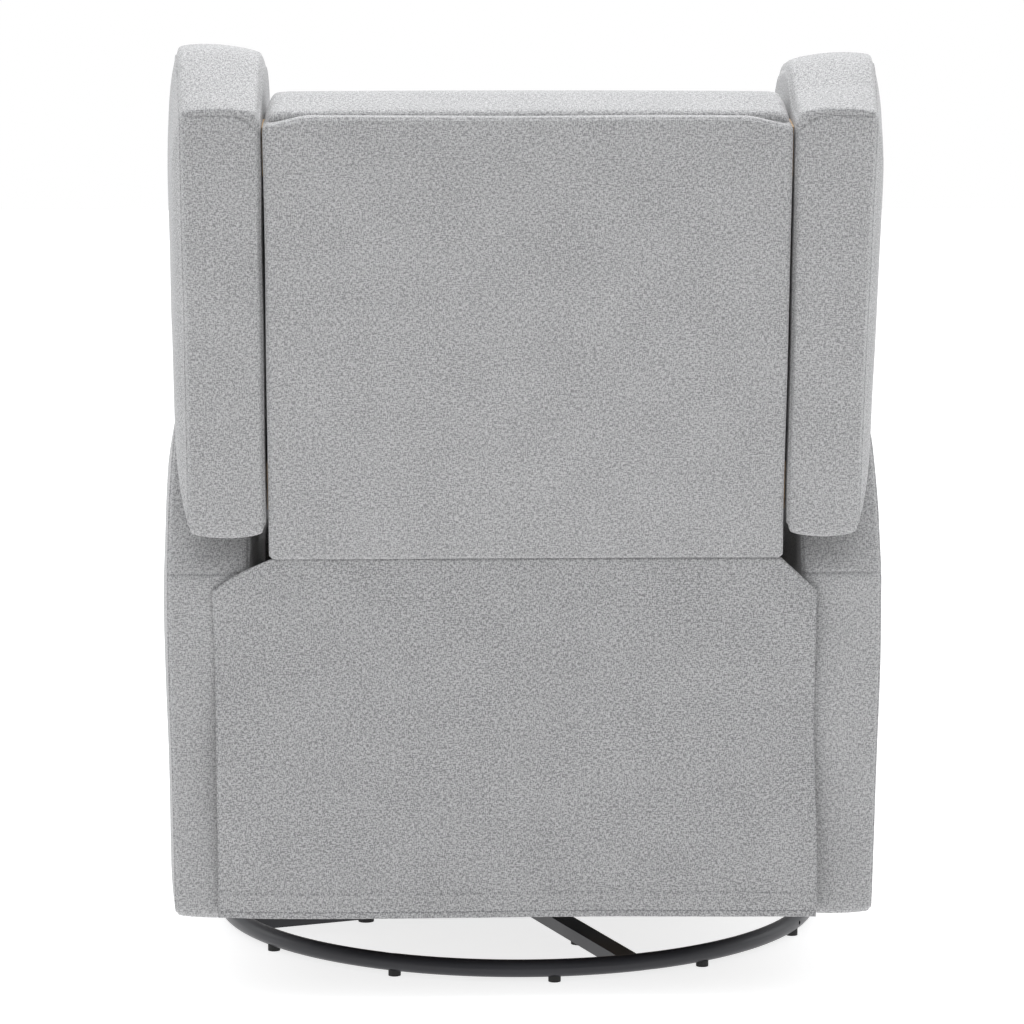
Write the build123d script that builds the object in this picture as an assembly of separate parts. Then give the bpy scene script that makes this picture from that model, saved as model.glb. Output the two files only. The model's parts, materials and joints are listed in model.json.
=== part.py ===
from build123d import *
import math
import os

# Swivel glider recliner, wing back, on a round tubular base. Millimetres.
# +Z up, the chair faces -Y, and the origin is on the floor on the swivel axis.

# ---- driving dimensions -------------------------------------------------
WIDTH = 752.0  # over the arms
DEPTH = 956.0  # footrest face to the back's top rear seam
HALF_DEPTH = DEPTH / 2
FOOTREST_FACE = -HALF_DEPTH

# base
RING_RADIUS = 335.0  # centreline of the ring tube
RING_TUBE = 19.0
FOOT_HEIGHT = 5.0
FOOT_RADIUS = 6.75
FOOT_COUNT = 12
FOOT_FIRST_DEG = 15.0  # from a cross bar
BASE_YAW_DEG = 20.5
BAR_WIDTH = 24.0
BAR_HEIGHT = 14.0
BAR_FOOT_RADIUS = 9.0
BAR_FOOT_PLACE = 185.0
VENT_RADIUS = 2.5

# swivel bearing and glider frame
HUB_RADIUS = 95.0
PLATE = 4.0
RACE_OUTER = 85.0
RACE_INNER = 58.0
RACE_HEIGHT = 5.0
BALL_RADIUS = 3.0
BALL_CIRCLE = 71.0
BALL_COUNT = 24
RUNNING_GAP = 0.05
STUD_RADIUS = 8.0
NUT_RADIUS = 14.0
NUT_HEIGHT = 9.0
SWIVEL_PLATE_SIDE = 220.0
BOLT_RADIUS = 3.0
BOLT_HEAD_RADIUS = 6.0
BOLT_HEAD_HEIGHT = 4.0
TUBE = 25.0
RAIL_INSET = 33.0  # from a mechanism side plate in to the glider side rail
RAIL_OVERRUN = 25.0  # of the side rails beyond the links
HANGER_THICK = 5.0
HANGER_WIDTH = 44.0
LINK_SPACING = 300.0  # front to rear hanging links
LINK_TOP = 215.0
LINK_BOTTOM = 95.0
LINK_WIDTH = 24.0
LINK_THICK = 5.0
PIN_RADIUS = 6.0
PIN_OVERHANG = 2.0
SIDE_GAP = 0.5  # between plates that pass each other
SOFT_GAP = 0.3  # between a soft piece and its seat

# seat box
SIDE_RAIL_THICK = 37.0
SIDE_PLATE_THICK = 5.0
PLATE_REAR_ROOM = 70.0  # from the mechanism side plates to the rear rail
PLATE_LEG_HALF = 24.0
PLATE_ARCH_DROP = 45.0  # from the hip down to the top of the side plates' arch
PLATE_ARCH_SLOPE = 60.0  # run of the arch's slopes
PLATE_FRONT = 26.0  # of the side plates ahead of the hip
PLATE_TOP_DROP = 20.0
PLATE_CLEARANCE = 2.0  # between a side plate and a recline hinge plate
RAIL_TOP = 385.0
RAIL_DEPTH = 60.0
FRONT_RAIL_SETBACK = 66.0  # setbacks are from the footrest face
FRONT_RAIL_THICK = 27.0
REAR_RAIL_FORWARD = 105.0  # "forward" is from the foot of the back's rear plane
REAR_RAIL_THICK = 30.0
WIRE_RADIUS = 1.9
SEAT_SPRINGS = 5
SPRING_SWING = 20.0
SPRING_PITCH = 46.0
CUSHION_GAP = 7.0
CUSHION_BOTTOM = 402.0
CUSHION_TOP = 500.0
CUSHION_SETBACK = 16.0
CUSHION_FORWARD = 150.0

# arms
ARM_THICK = 91.0
ARM_BOTTOM = 86.0
ARM_SETBACK = 38.0
ARM_LOW_FORWARD = 20.0
ARM_SEAM_FORWARD = 10.0
ARM_SEAM_HEIGHT = 450.0
ARM_SLOPE_FORWARD = 89.0
ARM_SLOPE_DROP = 22.0
ARM_TOP_FORWARD = 143.0
ARM_TOP = 610.0
ARM_FRONT_ROUND = 70.0
ARM_SKIN = 14.0
ARM_PAD = 16.0
TIMBER = 34.0

# back
LEAN_DEG = 9.0
BACK_BASE_HEIGHT = 466.0
BACK_SIDE_ROOM = 21.0  # from the back panel's edge to the face of an arm
BACK_PANEL_RISE = 465.0
BACK_PANEL_THICK = 14.0
FRAME_FRONT = 60.0  # front face of the back's timber frame, from its rear plane
FRAME_REAR = 16.0
UPRIGHT_THICK = 28.0
BACK_RAIL_DEPTH = 50.0
BACK_SPRINGS = 4
PIVOT_FORWARD = 75.0
PIVOT_DROP = 26.0
BRACKET_ROUND = 17.0
WING_BOARD_THICK = 15.0
WING_GAP = 3.0
WING_REAR_WIDTH = 80.0

# skirt
SKIRT_BOTTOM = 87.0
SKIRT_SHOULDER_DROP = 35.0
SKIRT_LEFT_OVERHANG = 62.0  # beyond the back panel's edge
SKIRT_RIGHT_OVERHANG = 37.0
SKIRT_FORWARD = 2.3
SKIRT_THICK = 5.0
SKIRT_BEVEL = 4.0

# footrest
PAD_THICK = 48.0
PAD_BOTTOM = 108.0
PAD_TOP = 390.0
BOARD_THICK = 15.0
HIP_SETBACK = 238.0
HIP_Z = 290.0
THIGH_LENGTH = 160.0
THIGH_DEG = -75.0  # below the forward direction, folded
TOE_SETBACK = 78.0
TOE_Z = 330.0
TORQUE_TUBE_RADIUS = 10.0
BRACKET_HALF = 30.0  # half the height of a footrest bracket at the board
LINK_ROOM = 3.0  # from the footrest's links to the front rail

# release pull
PULL_THICK = 3.0
PULL_WIDTH = 30.0
PULL_REAR = -80.0
PULL_LENGTH = 136.0

# ---- levels that follow from them -----------------------------------------
TUBE_CENTRE = FOOT_HEIGHT + RING_TUBE / 2
BAR_TOP = FOOT_HEIGHT + BAR_HEIGHT
HUB_TOP = BAR_TOP + PLATE
LOWER_RACE_TOP = HUB_TOP + RACE_HEIGHT
BALL_CENTRE = LOWER_RACE_TOP + RUNNING_GAP + BALL_RADIUS
UPPER_RACE_BOTTOM = BALL_CENTRE + BALL_RADIUS + RUNNING_GAP
SWIVEL_PLATE_BOTTOM = UPPER_RACE_BOTTOM + RACE_HEIGHT
SWIVEL_PLATE_TOP = SWIVEL_PLATE_BOTTOM + PLATE
GLIDER_TOP = SWIVEL_PLATE_TOP + TUBE
ARM_OUTER = WIDTH / 2
SEAT_INNER = ARM_OUTER - ARM_THICK  # inner face of an arm
SIDE_PLATE_FACE = SEAT_INNER - SIDE_RAIL_THICK - SIDE_PLATE_THICK  # inner face of a side plate
RAIL_HALF_GAUGE = SIDE_PLATE_FACE - RAIL_INSET  # outer face of the glider side rails
RAIL_LENGTH = LINK_SPACING + 2 * RAIL_OVERRUN
HANGER_FACE = RAIL_HALF_GAUGE + HANGER_THICK
LINK_FACE = HANGER_FACE + SIDE_GAP
THIGH_FACE = SIDE_PLATE_FACE - 2.0 - LINK_THICK
KNEE_FACE = THIGH_FACE - 1.5 - LINK_THICK
TOE_BRACKET_FACE = KNEE_FACE - 1.5 - LINK_THICK
UPRIGHT_OUTER = SIDE_PLATE_FACE - LINK_THICK - SIDE_GAP
BACK_PANEL_HALF = SEAT_INNER - BACK_SIDE_ROOM
WING_INNER = BACK_PANEL_HALF + WING_GAP
SKIRT_LEFT = BACK_PANEL_HALF + SKIRT_LEFT_OVERHANG
SKIRT_RIGHT = -BACK_PANEL_HALF - SKIRT_RIGHT_OVERHANG
FRONT_RAIL_FRONT = FOOTREST_FACE + FRONT_RAIL_SETBACK
CUSHION_FRONT = FOOTREST_FACE + CUSHION_SETBACK
ARM_FRONT = FOOTREST_FACE + ARM_SETBACK
HIP_Y = FOOTREST_FACE + HIP_SETBACK
TOE_Y = FOOTREST_FACE + TOE_SETBACK
BACK_BASE_Y = HALF_DEPTH - BACK_PANEL_RISE * math.sin(math.radians(LEAN_DEG))
REAR_RAIL_REAR = BACK_BASE_Y - REAR_RAIL_FORWARD
PLATE_REAR = REAR_RAIL_REAR - REAR_RAIL_THICK - PLATE_REAR_ROOM
CUSHION_REAR = BACK_BASE_Y - CUSHION_FORWARD
ARM_REAR_LOW = BACK_BASE_Y - ARM_LOW_FORWARD
ARM_REAR_HIGH = BACK_BASE_Y - ARM_SEAM_FORWARD
ARM_SLOPE_TOP_Y = BACK_BASE_Y - ARM_SLOPE_FORWARD
ARM_SLOPE_TOP_Z = ARM_TOP - ARM_SLOPE_DROP
ARM_TOP_REAR = BACK_BASE_Y - ARM_TOP_FORWARD
PIVOT_Y = BACK_BASE_Y - PIVOT_FORWARD
PIVOT_Z = BACK_BASE_HEIGHT - PIVOT_DROP
SKIRT_REAR = BACK_BASE_Y - SKIRT_FORWARD
SKIRT_SHOULDER = BACK_BASE_HEIGHT - SKIRT_SHOULDER_DROP
PULL_BOTTOM = CUSHION_BOTTOM + 2.0
PULL_TOP = PULL_BOTTOM + PULL_LENGTH
KNEE_Y = HIP_Y - THIGH_LENGTH * math.cos(math.radians(THIGH_DEG))
KNEE_Z = HIP_Z + THIGH_LENGTH * math.sin(math.radians(THIGH_DEG))


# ---- helpers -----------------------------------------------------------------
def block(x, y, z):
    """A box between the two values given on each axis."""
    low = (Align.MIN, Align.MIN, Align.MIN)
    return Pos(x[0], y[0], z[0]) * Box(x[1] - x[0], y[1] - y[0], z[1] - z[0], align=low)


def side_prism(points, x0, x1):
    """A straight prism along X from a closed outline of (y, z) points."""
    outline = make_face(Polyline(*points, close=True))
    return Pos(x0, 0, 0) * extrude(Plane.YZ * outline, amount=x1 - x0)


def rod_x(x0, x1, y, z, radius):
    """A round bar along X."""
    return Pos((x0 + x1) / 2, y, z) * Rot(0, 90, 0) * Cylinder(radius, x1 - x0)


def both_sides(shape):
    """The shape on the chair's left (+X) with its mirror image on the right."""
    return Part() + [shape, mirror(shape, about=Plane.YZ)]


def group(shapes):
    """Separate solids kept apart in one node, though their faces touch."""
    return Compound(children=[solid for shape in shapes for solid in shape.solids()])


def lean(shape):
    """Tilts a shape drawn with a vertical back about the foot of the back's rear plane."""
    hinge = Pos(0, BACK_BASE_Y, BACK_BASE_HEIGHT)
    return hinge * Rot(-LEAN_DEG, 0, 0) * hinge.inverse() * shape


def back_points(points):
    """Turns (forward, up) pairs measured from the foot of the rear plane into (y, z)."""
    return [(BACK_BASE_Y - forward, BACK_BASE_HEIGHT + up) for forward, up in points]


def flat_link(x0, start, end, half_width):
    """A flat bar with round ends between two (y, z) pivots, and plain ends."""
    run = math.hypot(end[0] - start[0], end[1] - start[1])
    turn = math.degrees(math.atan2(end[1] - start[1], end[0] - start[0]))
    outline = SlotCenterToCenter(run, half_width * 2)
    middle = ((start[0] + end[0]) / 2, (start[1] + end[1]) / 2)
    flat = Pos(middle[0], middle[1]) * Rot(0, 0, turn) * outline
    return Pos(x0, 0, 0) * extrude(Plane.YZ * flat, amount=LINK_THICK)


def pin_hole(x0, x1, y, z):
    """The cutter of a hole that turns on a pivot pin."""
    return rod_x(x0 - 1, x1 + 1, y, z, PIN_RADIUS + RUNNING_GAP)


def zigzag_spring(length, swing, pitch):
    """A sinuous wire spring along +Y from the origin, flat in XY."""
    waves = int(length / pitch)
    step = length / (2 * waves)
    points = [(0, 0)]
    for turn in range(2 * waves - 1):
        side = swing if turn % 2 == 0 else -swing
        points += [(side, step * (turn + 0.5)), (side, step * (turn + 1.5))]
    points.append((0, length))
    path = FilletPolyline(*points, radius=step * 0.42)
    section = Plane(path @ 0, z_dir=path % 0) * Circle(WIRE_RADIUS)
    return sweep(section, path=path)


# ---- base -----------------------------------------------------------------
def base_yaw(shape):
    return Rot(0, 0, BASE_YAW_DEG) * shape


def base_ring():
    ring = Pos(0, 0, TUBE_CENTRE) * Torus(RING_RADIUS, RING_TUBE / 2)
    vent = Rot(0, 0, 45) * Pos(0, RING_RADIUS + RING_TUBE / 2, TUBE_CENTRE)
    ring -= base_yaw(vent * Rot(90, 0, 0) * Cylinder(VENT_RADIUS, RING_TUBE / 2))
    return ring - base_cross_bars().solids()


def base_cross_bars():
    half = BAR_WIDTH / 2
    levels = (FOOT_HEIGHT, BAR_TOP)
    reach = RING_RADIUS
    long_bar = block((-half, half), (-reach, reach), levels)
    short_bar = block((half, reach), (-half, half), levels)
    bars = [long_bar, short_bar, Rot(0, 0, 180) * short_bar]
    return group([base_yaw(bar) for bar in bars])


def ring_feet():
    seat = Pos(0, 0, TUBE_CENTRE) * Torus(RING_RADIUS, RING_TUBE / 2)
    foot = Pos(RING_RADIUS, 0, FOOT_HEIGHT * 0.7) * Cylinder(FOOT_RADIUS, FOOT_HEIGHT * 1.4)
    foot -= seat
    pitch = 360 / FOOT_COUNT
    feet = [Rot(0, 0, FOOT_FIRST_DEG + pitch * turn) * foot for turn in range(FOOT_COUNT)]
    return base_yaw(Part() + feet)


def bar_feet():
    foot = Pos(BAR_FOOT_PLACE, 0, FOOT_HEIGHT / 2) * Cylinder(BAR_FOOT_RADIUS, FOOT_HEIGHT)
    return base_yaw(Part() + [Rot(0, 0, 90 * turn) * foot for turn in range(4)])


def disc(outer, inner, bottom, height):
    """A flat ring."""
    middle = Pos(0, 0, bottom + height / 2)
    return middle * Cylinder(outer, height) - middle * Cylinder(inner, height * 2)


def hub_plate():
    return disc(HUB_RADIUS, STUD_RADIUS, BAR_TOP, PLATE)


def bearing_lower_race():
    return disc(RACE_OUTER, RACE_INNER, HUB_TOP, RACE_HEIGHT)


def bearing_balls():
    ball = Pos(BALL_CIRCLE, 0, BALL_CENTRE) * Sphere(BALL_RADIUS)
    return Part() + [Rot(0, 0, 360 / BALL_COUNT * turn) * ball for turn in range(BALL_COUNT)]


def nut_seat():
    return SWIVEL_PLATE_TOP + RUNNING_GAP


def swivel_stud():
    height = nut_seat() + NUT_HEIGHT - BAR_TOP
    return Pos(0, 0, BAR_TOP + height / 2) * Cylinder(STUD_RADIUS, height)


def swivel_nut():
    blank = extrude(RegularPolygon(NUT_RADIUS, 6), amount=NUT_HEIGHT)
    blank -= Cylinder(STUD_RADIUS, NUT_HEIGHT * 3)
    return Pos(0, 0, nut_seat()) * blank


# ---- swivel frame ----------------------------------------------------------
def race_bolt_places():
    return [Rot(0, 0, 45 + 90 * turn) * Pos(BALL_CIRCLE, 0, 0) for turn in range(4)]


def race_bolt_holes():
    return [place * Cylinder(BOLT_RADIUS, 200) for place in race_bolt_places()]


def bearing_upper_race():
    return disc(RACE_OUTER, RACE_INNER, UPPER_RACE_BOTTOM, RACE_HEIGHT) - race_bolt_holes()


def swivel_plate():
    half = SWIVEL_PLATE_SIDE / 2
    plate = block((-half, half), (-half, half), (SWIVEL_PLATE_BOTTOM, SWIVEL_PLATE_TOP))
    plate -= Cylinder(STUD_RADIUS + RUNNING_GAP, 200)
    return plate - race_bolt_holes()


def race_bolts():
    shank_length = SWIVEL_PLATE_TOP - UPPER_RACE_BOTTOM
    shank = Pos(0, 0, UPPER_RACE_BOTTOM + shank_length / 2) * Cylinder(BOLT_RADIUS, shank_length)
    head = extrude(RegularPolygon(BOLT_HEAD_RADIUS, 6), amount=BOLT_HEAD_HEIGHT)
    bolt = shank + Pos(0, 0, SWIVEL_PLATE_TOP) * head
    return Part() + [place * bolt for place in race_bolt_places()]


def glider_cross_tubes():
    inner = RAIL_HALF_GAUGE - TUBE
    reach = SWIVEL_PLATE_SIDE / 2
    tube = block((-inner, inner), (reach - TUBE, reach), (SWIVEL_PLATE_TOP, GLIDER_TOP))
    return Part() + [tube, mirror(tube, about=Plane.XZ)]


def glider_side_rails():
    half = RAIL_LENGTH / 2
    inner = RAIL_HALF_GAUGE - TUBE
    rail = block((inner, RAIL_HALF_GAUGE), (-half, half), (SWIVEL_PLATE_TOP, GLIDER_TOP))
    return both_sides(rail)


def hanger(y):
    """One upright plate at the top of a hanging link."""
    low = SWIVEL_PLATE_TOP
    top = LINK_TOP + HANGER_WIDTH / 2
    return block((RAIL_HALF_GAUGE, HANGER_FACE), (y - HANGER_WIDTH / 2, y + HANGER_WIDTH / 2), (low, top))


def hanger_plates():
    place = LINK_SPACING / 2
    return both_sides(Part() + [hanger(-place), hanger(place)])


def hanger_pins():
    """The fixed pins that the links hang from."""
    place = LINK_SPACING / 2
    end = LINK_FACE + LINK_THICK + PIN_OVERHANG
    return both_sides(Part() + [rod_x(HANGER_FACE, end, y, LINK_TOP, PIN_RADIUS) for y in (-place, place)])


def glide_links(y):
    """The pair of hanging links at one end of the glider."""
    top = (y, LINK_TOP)
    bottom = (y, LINK_BOTTOM)
    link = flat_link(LINK_FACE, top, bottom, LINK_WIDTH / 2)
    for pivot in (top, bottom):
        link -= pin_hole(LINK_FACE, LINK_FACE + LINK_THICK, *pivot)
    return both_sides(link)


# ---- seat box ----------------------------------------------------------------
def side_plates():
    """Steel plates that carry the seat box on the lower ends of the hanging links."""
    place = LINK_SPACING / 2
    low = LINK_BOTTOM - LINK_WIDTH / 2
    arch_top = HIP_Z - PLATE_ARCH_DROP
    top = RAIL_TOP - PLATE_TOP_DROP
    outline = [
        (-place - PLATE_LEG_HALF, low),
        (-place + PLATE_LEG_HALF, low),
        (-place + PLATE_ARCH_SLOPE, arch_top),
        (place - PLATE_ARCH_SLOPE, arch_top),
        (place - PLATE_LEG_HALF, low),
        (place + PLATE_LEG_HALF, low),
        (PLATE_REAR, top),
        (HIP_Y - PLATE_FRONT, top),
        (HIP_Y - PLATE_FRONT, HIP_Z - PLATE_TOP_DROP),
    ]
    return both_sides(side_prism(outline, SIDE_PLATE_FACE, SIDE_PLATE_FACE + SIDE_PLATE_THICK))


def side_plate_pins():
    """Pins on the side plates: two for the hanging links and one for the footrest's hip."""
    place = LINK_SPACING / 2
    pins = [rod_x(LINK_FACE, SIDE_PLATE_FACE, y, LINK_BOTTOM, PIN_RADIUS) for y in (-place, place)]
    pins.append(rod_x(THIGH_FACE, SIDE_PLATE_FACE, HIP_Y, HIP_Z, PIN_RADIUS))
    return both_sides(Part() + pins)


def seat_side_rails():
    x = (SIDE_PLATE_FACE + SIDE_PLATE_THICK, SEAT_INNER)
    y = (FRONT_RAIL_FRONT, REAR_RAIL_REAR)
    return both_sides(block(x, y, (RAIL_TOP - RAIL_DEPTH, RAIL_TOP)))


def seat_cross_rail(reach, front, thick, bottom):
    return block((-reach, reach), (front, front + thick), (bottom, RAIL_TOP))


def seat_front_rail():
    """A rail whose ends are stepped to leave room for the footrest's links."""
    run = (FRONT_RAIL_FRONT, FRONT_RAIL_THICK)
    middle = seat_cross_rail(TOE_BRACKET_FACE - LINK_ROOM, *run, RAIL_TOP - RAIL_DEPTH)
    step = TOE_Z + BRACKET_HALF + LINK_ROOM
    return middle + seat_cross_rail(SIDE_PLATE_FACE + SIDE_PLATE_THICK, *run, step)


def seat_rear_rail():
    reach = SIDE_PLATE_FACE + SIDE_PLATE_THICK
    front = REAR_RAIL_REAR - REAR_RAIL_THICK
    return seat_cross_rail(reach, front, REAR_RAIL_THICK, RAIL_TOP - RAIL_DEPTH)


def seat_springs():
    start = FRONT_RAIL_FRONT + 10
    length = REAR_RAIL_REAR - 10 - start
    spring = zigzag_spring(length, SPRING_SWING, SPRING_PITCH)
    pitch = 2 * SIDE_PLATE_FACE / (SEAT_SPRINGS + 0.6)
    places = [(number - (SEAT_SPRINGS - 1) / 2) * pitch for number in range(SEAT_SPRINGS)]
    level = RAIL_TOP + WIRE_RADIUS
    return Part() + [Pos(x, start, level) * spring for x in places]


def cushion_reach():
    return SEAT_INNER - CUSHION_GAP


def seat_deck():
    bottom = RAIL_TOP + 2 * WIRE_RADIUS + SOFT_GAP
    x = (-cushion_reach(), cushion_reach())
    return block(x, (FRONT_RAIL_FRONT, CUSHION_REAR), (bottom, CUSHION_BOTTOM - SOFT_GAP))


def seat_cushion():
    x = (-cushion_reach(), cushion_reach())
    cushion = block(x, (CUSHION_FRONT, CUSHION_REAR), (CUSHION_BOTTOM, CUSHION_TOP))
    front = cushion.edges().filter_by(Axis.X).group_by(Axis.Y)[0]
    return fillet(front, (CUSHION_TOP - CUSHION_BOTTOM) * 0.35)


def recline_hinge_plates():
    """Steel ears on the wooden side rails, each with the fixed pin of the recline hinge."""
    low = RAIL_TOP - RAIL_DEPTH + 5
    front = max(PLATE_REAR, LINK_SPACING / 2 + PLATE_LEG_HALF) + PLATE_CLEARANCE
    outline = [
        (front, low),
        (REAR_RAIL_REAR + 16, low),
        (PIVOT_Y + BRACKET_ROUND * 0.85, PIVOT_Z - BRACKET_ROUND * 0.5),
        (PIVOT_Y - BRACKET_ROUND * 0.85, PIVOT_Z - BRACKET_ROUND * 0.5),
        (CUSHION_REAR + CUSHION_GAP, RAIL_TOP),
        (front, RAIL_TOP),
    ]
    end = SIDE_PLATE_FACE + SIDE_PLATE_THICK
    plate = side_prism(outline, SIDE_PLATE_FACE, end) - seat_rear_rail()
    plate += rod_x(SIDE_PLATE_FACE, end, PIVOT_Y, PIVOT_Z, BRACKET_ROUND)
    pin_end = UPRIGHT_OUTER + SOFT_GAP
    plate += rod_x(pin_end, SIDE_PLATE_FACE, PIVOT_Y, PIVOT_Z, PIN_RADIUS)
    return both_sides(plate)


# ---- arms ------------------------------------------------------------------
def arm_outline():
    """The arm seen from the side, as a face in YZ."""
    outline = [
        (ARM_FRONT, ARM_BOTTOM),
        (ARM_REAR_LOW, ARM_BOTTOM),
        (ARM_REAR_HIGH, ARM_SEAM_HEIGHT),
        (ARM_SLOPE_TOP_Y, ARM_SLOPE_TOP_Z),
        (ARM_TOP_REAR, ARM_TOP),
        (ARM_FRONT + ARM_FRONT_ROUND, ARM_TOP),
        (ARM_FRONT + ARM_FRONT_ROUND * 0.3, ARM_TOP - ARM_FRONT_ROUND * 0.3),
        (ARM_FRONT, ARM_TOP - ARM_FRONT_ROUND),
    ]
    return outline


def arm_panel(x0):
    return side_prism(arm_outline(), x0, x0 + ARM_SKIN)


def arm_edge_pads():
    """The padded strips that run round an arm between its two panels."""
    x0 = SEAT_INNER + ARM_SKIN
    x1 = ARM_OUTER - ARM_SKIN
    low = ARM_BOTTOM
    round_top = ARM_TOP - ARM_FRONT_ROUND
    round_rear = ARM_FRONT + ARM_FRONT_ROUND
    front = block((x0, x1), (ARM_FRONT, ARM_FRONT + ARM_PAD), (low, round_top))
    corner = side_prism(
        [
            (ARM_FRONT, round_top),
            (ARM_FRONT + ARM_FRONT_ROUND * 0.3, ARM_TOP - ARM_FRONT_ROUND * 0.3),
            (round_rear, ARM_TOP),
            (round_rear, ARM_TOP - ARM_PAD),
            (ARM_FRONT + ARM_PAD, round_top),
        ],
        x0,
        x1,
    )
    rear = side_prism(
        [
            (ARM_REAR_LOW - ARM_PAD, low),
            (ARM_REAR_LOW, low),
            (ARM_REAR_HIGH, ARM_SEAM_HEIGHT),
            (ARM_REAR_HIGH - ARM_PAD, ARM_SEAM_HEIGHT),
        ],
        x0,
        x1,
    )
    slope = side_prism(
        [
            (ARM_REAR_HIGH - ARM_PAD, ARM_SEAM_HEIGHT),
            (ARM_REAR_HIGH, ARM_SEAM_HEIGHT),
            (ARM_SLOPE_TOP_Y, ARM_SLOPE_TOP_Z),
            (ARM_TOP_REAR, ARM_TOP),
            (ARM_TOP_REAR, ARM_TOP - ARM_PAD),
            (ARM_SLOPE_TOP_Y - ARM_PAD, ARM_SLOPE_TOP_Z - ARM_PAD),
        ],
        x0,
        x1,
    )
    top = block((x0, x1), (round_rear, ARM_TOP_REAR), (ARM_TOP - ARM_PAD, ARM_TOP))
    return group([front, corner, rear, slope, top])


def arm_timbers():
    """Posts and rails of one arm's frame, as separate lengths of wood."""
    middle = (SEAT_INNER + ARM_OUTER) / 2
    x = (middle - TIMBER / 2, middle + TIMBER / 2)
    front = ARM_FRONT + ARM_PAD
    rear = ARM_REAR_LOW - ARM_PAD
    bottom = ARM_BOTTOM
    top = ARM_TOP - ARM_PAD
    post_top = top - TIMBER
    round_top = ARM_TOP - ARM_FRONT_ROUND
    round_rear = ARM_FRONT + ARM_FRONT_ROUND
    mitre = round_top + TIMBER * (top - round_top) / (round_rear - front)
    post_rear = front + TIMBER
    post = [(front, bottom), (post_rear, bottom), (post_rear, mitre), (front, round_top)]
    front_post = side_prism(post, *x)
    rear_post = block(x, (rear - TIMBER, rear), (bottom, ARM_SEAM_HEIGHT))
    low_rail = block(x, (post_rear, rear - TIMBER), (bottom, bottom + TIMBER))
    rail_rear = ARM_TOP_REAR - ARM_PAD
    rail = [(post_rear, post_top), (rail_rear, post_top), (rail_rear, top), (round_rear, top), (post_rear, mitre)]
    top_rail = side_prism(rail, *x)
    brace = block(x, (rail_rear - TIMBER, rail_rear), (bottom + TIMBER, post_top))
    return group([front_post, rear_post, low_rail, top_rail, brace])


def seat_block_bolts():
    """Bolts that hold each arm's inner panel to the seat's side rail."""
    inner = SIDE_PLATE_FACE + SIDE_PLATE_THICK
    level = RAIL_TOP - RAIL_DEPTH / 2
    bolts = []
    for y in (FRONT_RAIL_FRONT + 60, 0, REAR_RAIL_REAR - 40):
        bolts.append(rod_x(inner, SEAT_INNER + ARM_SKIN, y, level, BOLT_RADIUS))
    return bolts


def arm_bolts():
    return both_sides(Part() + seat_block_bolts())


# ---- back --------------------------------------------------------------------
def back_uprights():
    x = (UPRIGHT_OUTER - UPRIGHT_THICK, UPRIGHT_OUTER)
    y = (BACK_BASE_Y - FRAME_FRONT, BACK_BASE_Y - FRAME_REAR)
    top = BACK_BASE_HEIGHT + BACK_PANEL_RISE - FRAME_REAR
    return lean(both_sides(block(x, y, (BACK_BASE_HEIGHT, top))))


def back_rail(bottom):
    """A cross rail in three lengths: between the uprights and out to each wing board."""
    y = (BACK_BASE_Y - FRAME_FRONT, BACK_BASE_Y - FRAME_REAR)
    z = (BACK_BASE_HEIGHT + bottom, BACK_BASE_HEIGHT + bottom + BACK_RAIL_DEPTH)
    inner = UPRIGHT_OUTER - UPRIGHT_THICK
    middle = block((-inner, inner), y, z)
    stub = block((UPRIGHT_OUTER, WING_INNER), y, z)
    return [middle, stub, mirror(stub, about=Plane.YZ)]


def back_rails():
    top = BACK_PANEL_RISE - FRAME_REAR - BACK_RAIL_DEPTH
    return lean(Part() + back_rail(BACK_RAIL_DEPTH) + back_rail(top))


def back_springs():
    low = BACK_RAIL_DEPTH + 20
    length = BACK_PANEL_RISE - FRAME_REAR - 20 - low
    spring = zigzag_spring(length, SPRING_SWING, SPRING_PITCH)
    inner = UPRIGHT_OUTER - UPRIGHT_THICK
    pitch = 2 * inner / (BACK_SPRINGS + 0.4)
    places = [(number - (BACK_SPRINGS - 1) / 2) * pitch for number in range(BACK_SPRINGS)]
    y = BACK_BASE_Y - FRAME_FRONT - WIRE_RADIUS
    upright = Rot(90, 0, 0) * spring
    return lean(Part() + [Pos(x, y, BACK_BASE_HEIGHT + low) * upright for x in places])


def back_hinge_brackets():
    """Steel straps on the outer faces of the uprights, bored for the recline pins."""
    x0 = UPRIGHT_OUTER
    strap = lean(
        side_prism(
            back_points([(FRAME_FRONT, 8), (FRAME_FRONT, 45), (FRAME_REAR + 16, 45), (FRAME_REAR + 16, 8)]),
            x0,
            x0 + LINK_THICK,
        )
    )
    eye = rod_x(x0, x0 + LINK_THICK, PIVOT_Y, PIVOT_Z, BRACKET_ROUND)
    web = side_prism(
        [
            (PIVOT_Y - BRACKET_ROUND * 0.9, PIVOT_Z + 4),
            (PIVOT_Y + BRACKET_ROUND * 0.9, PIVOT_Z - 4),
            (BACK_BASE_Y - FRAME_REAR - 18, BACK_BASE_HEIGHT + 18),
            (BACK_BASE_Y - FRAME_FRONT + 3, BACK_BASE_HEIGHT + 40),
        ],
        x0,
        x0 + LINK_THICK,
    )
    bracket = strap + web + eye
    bracket -= pin_hole(x0, x0 + LINK_THICK, PIVOT_Y, PIVOT_Z)
    return both_sides(bracket)


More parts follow.
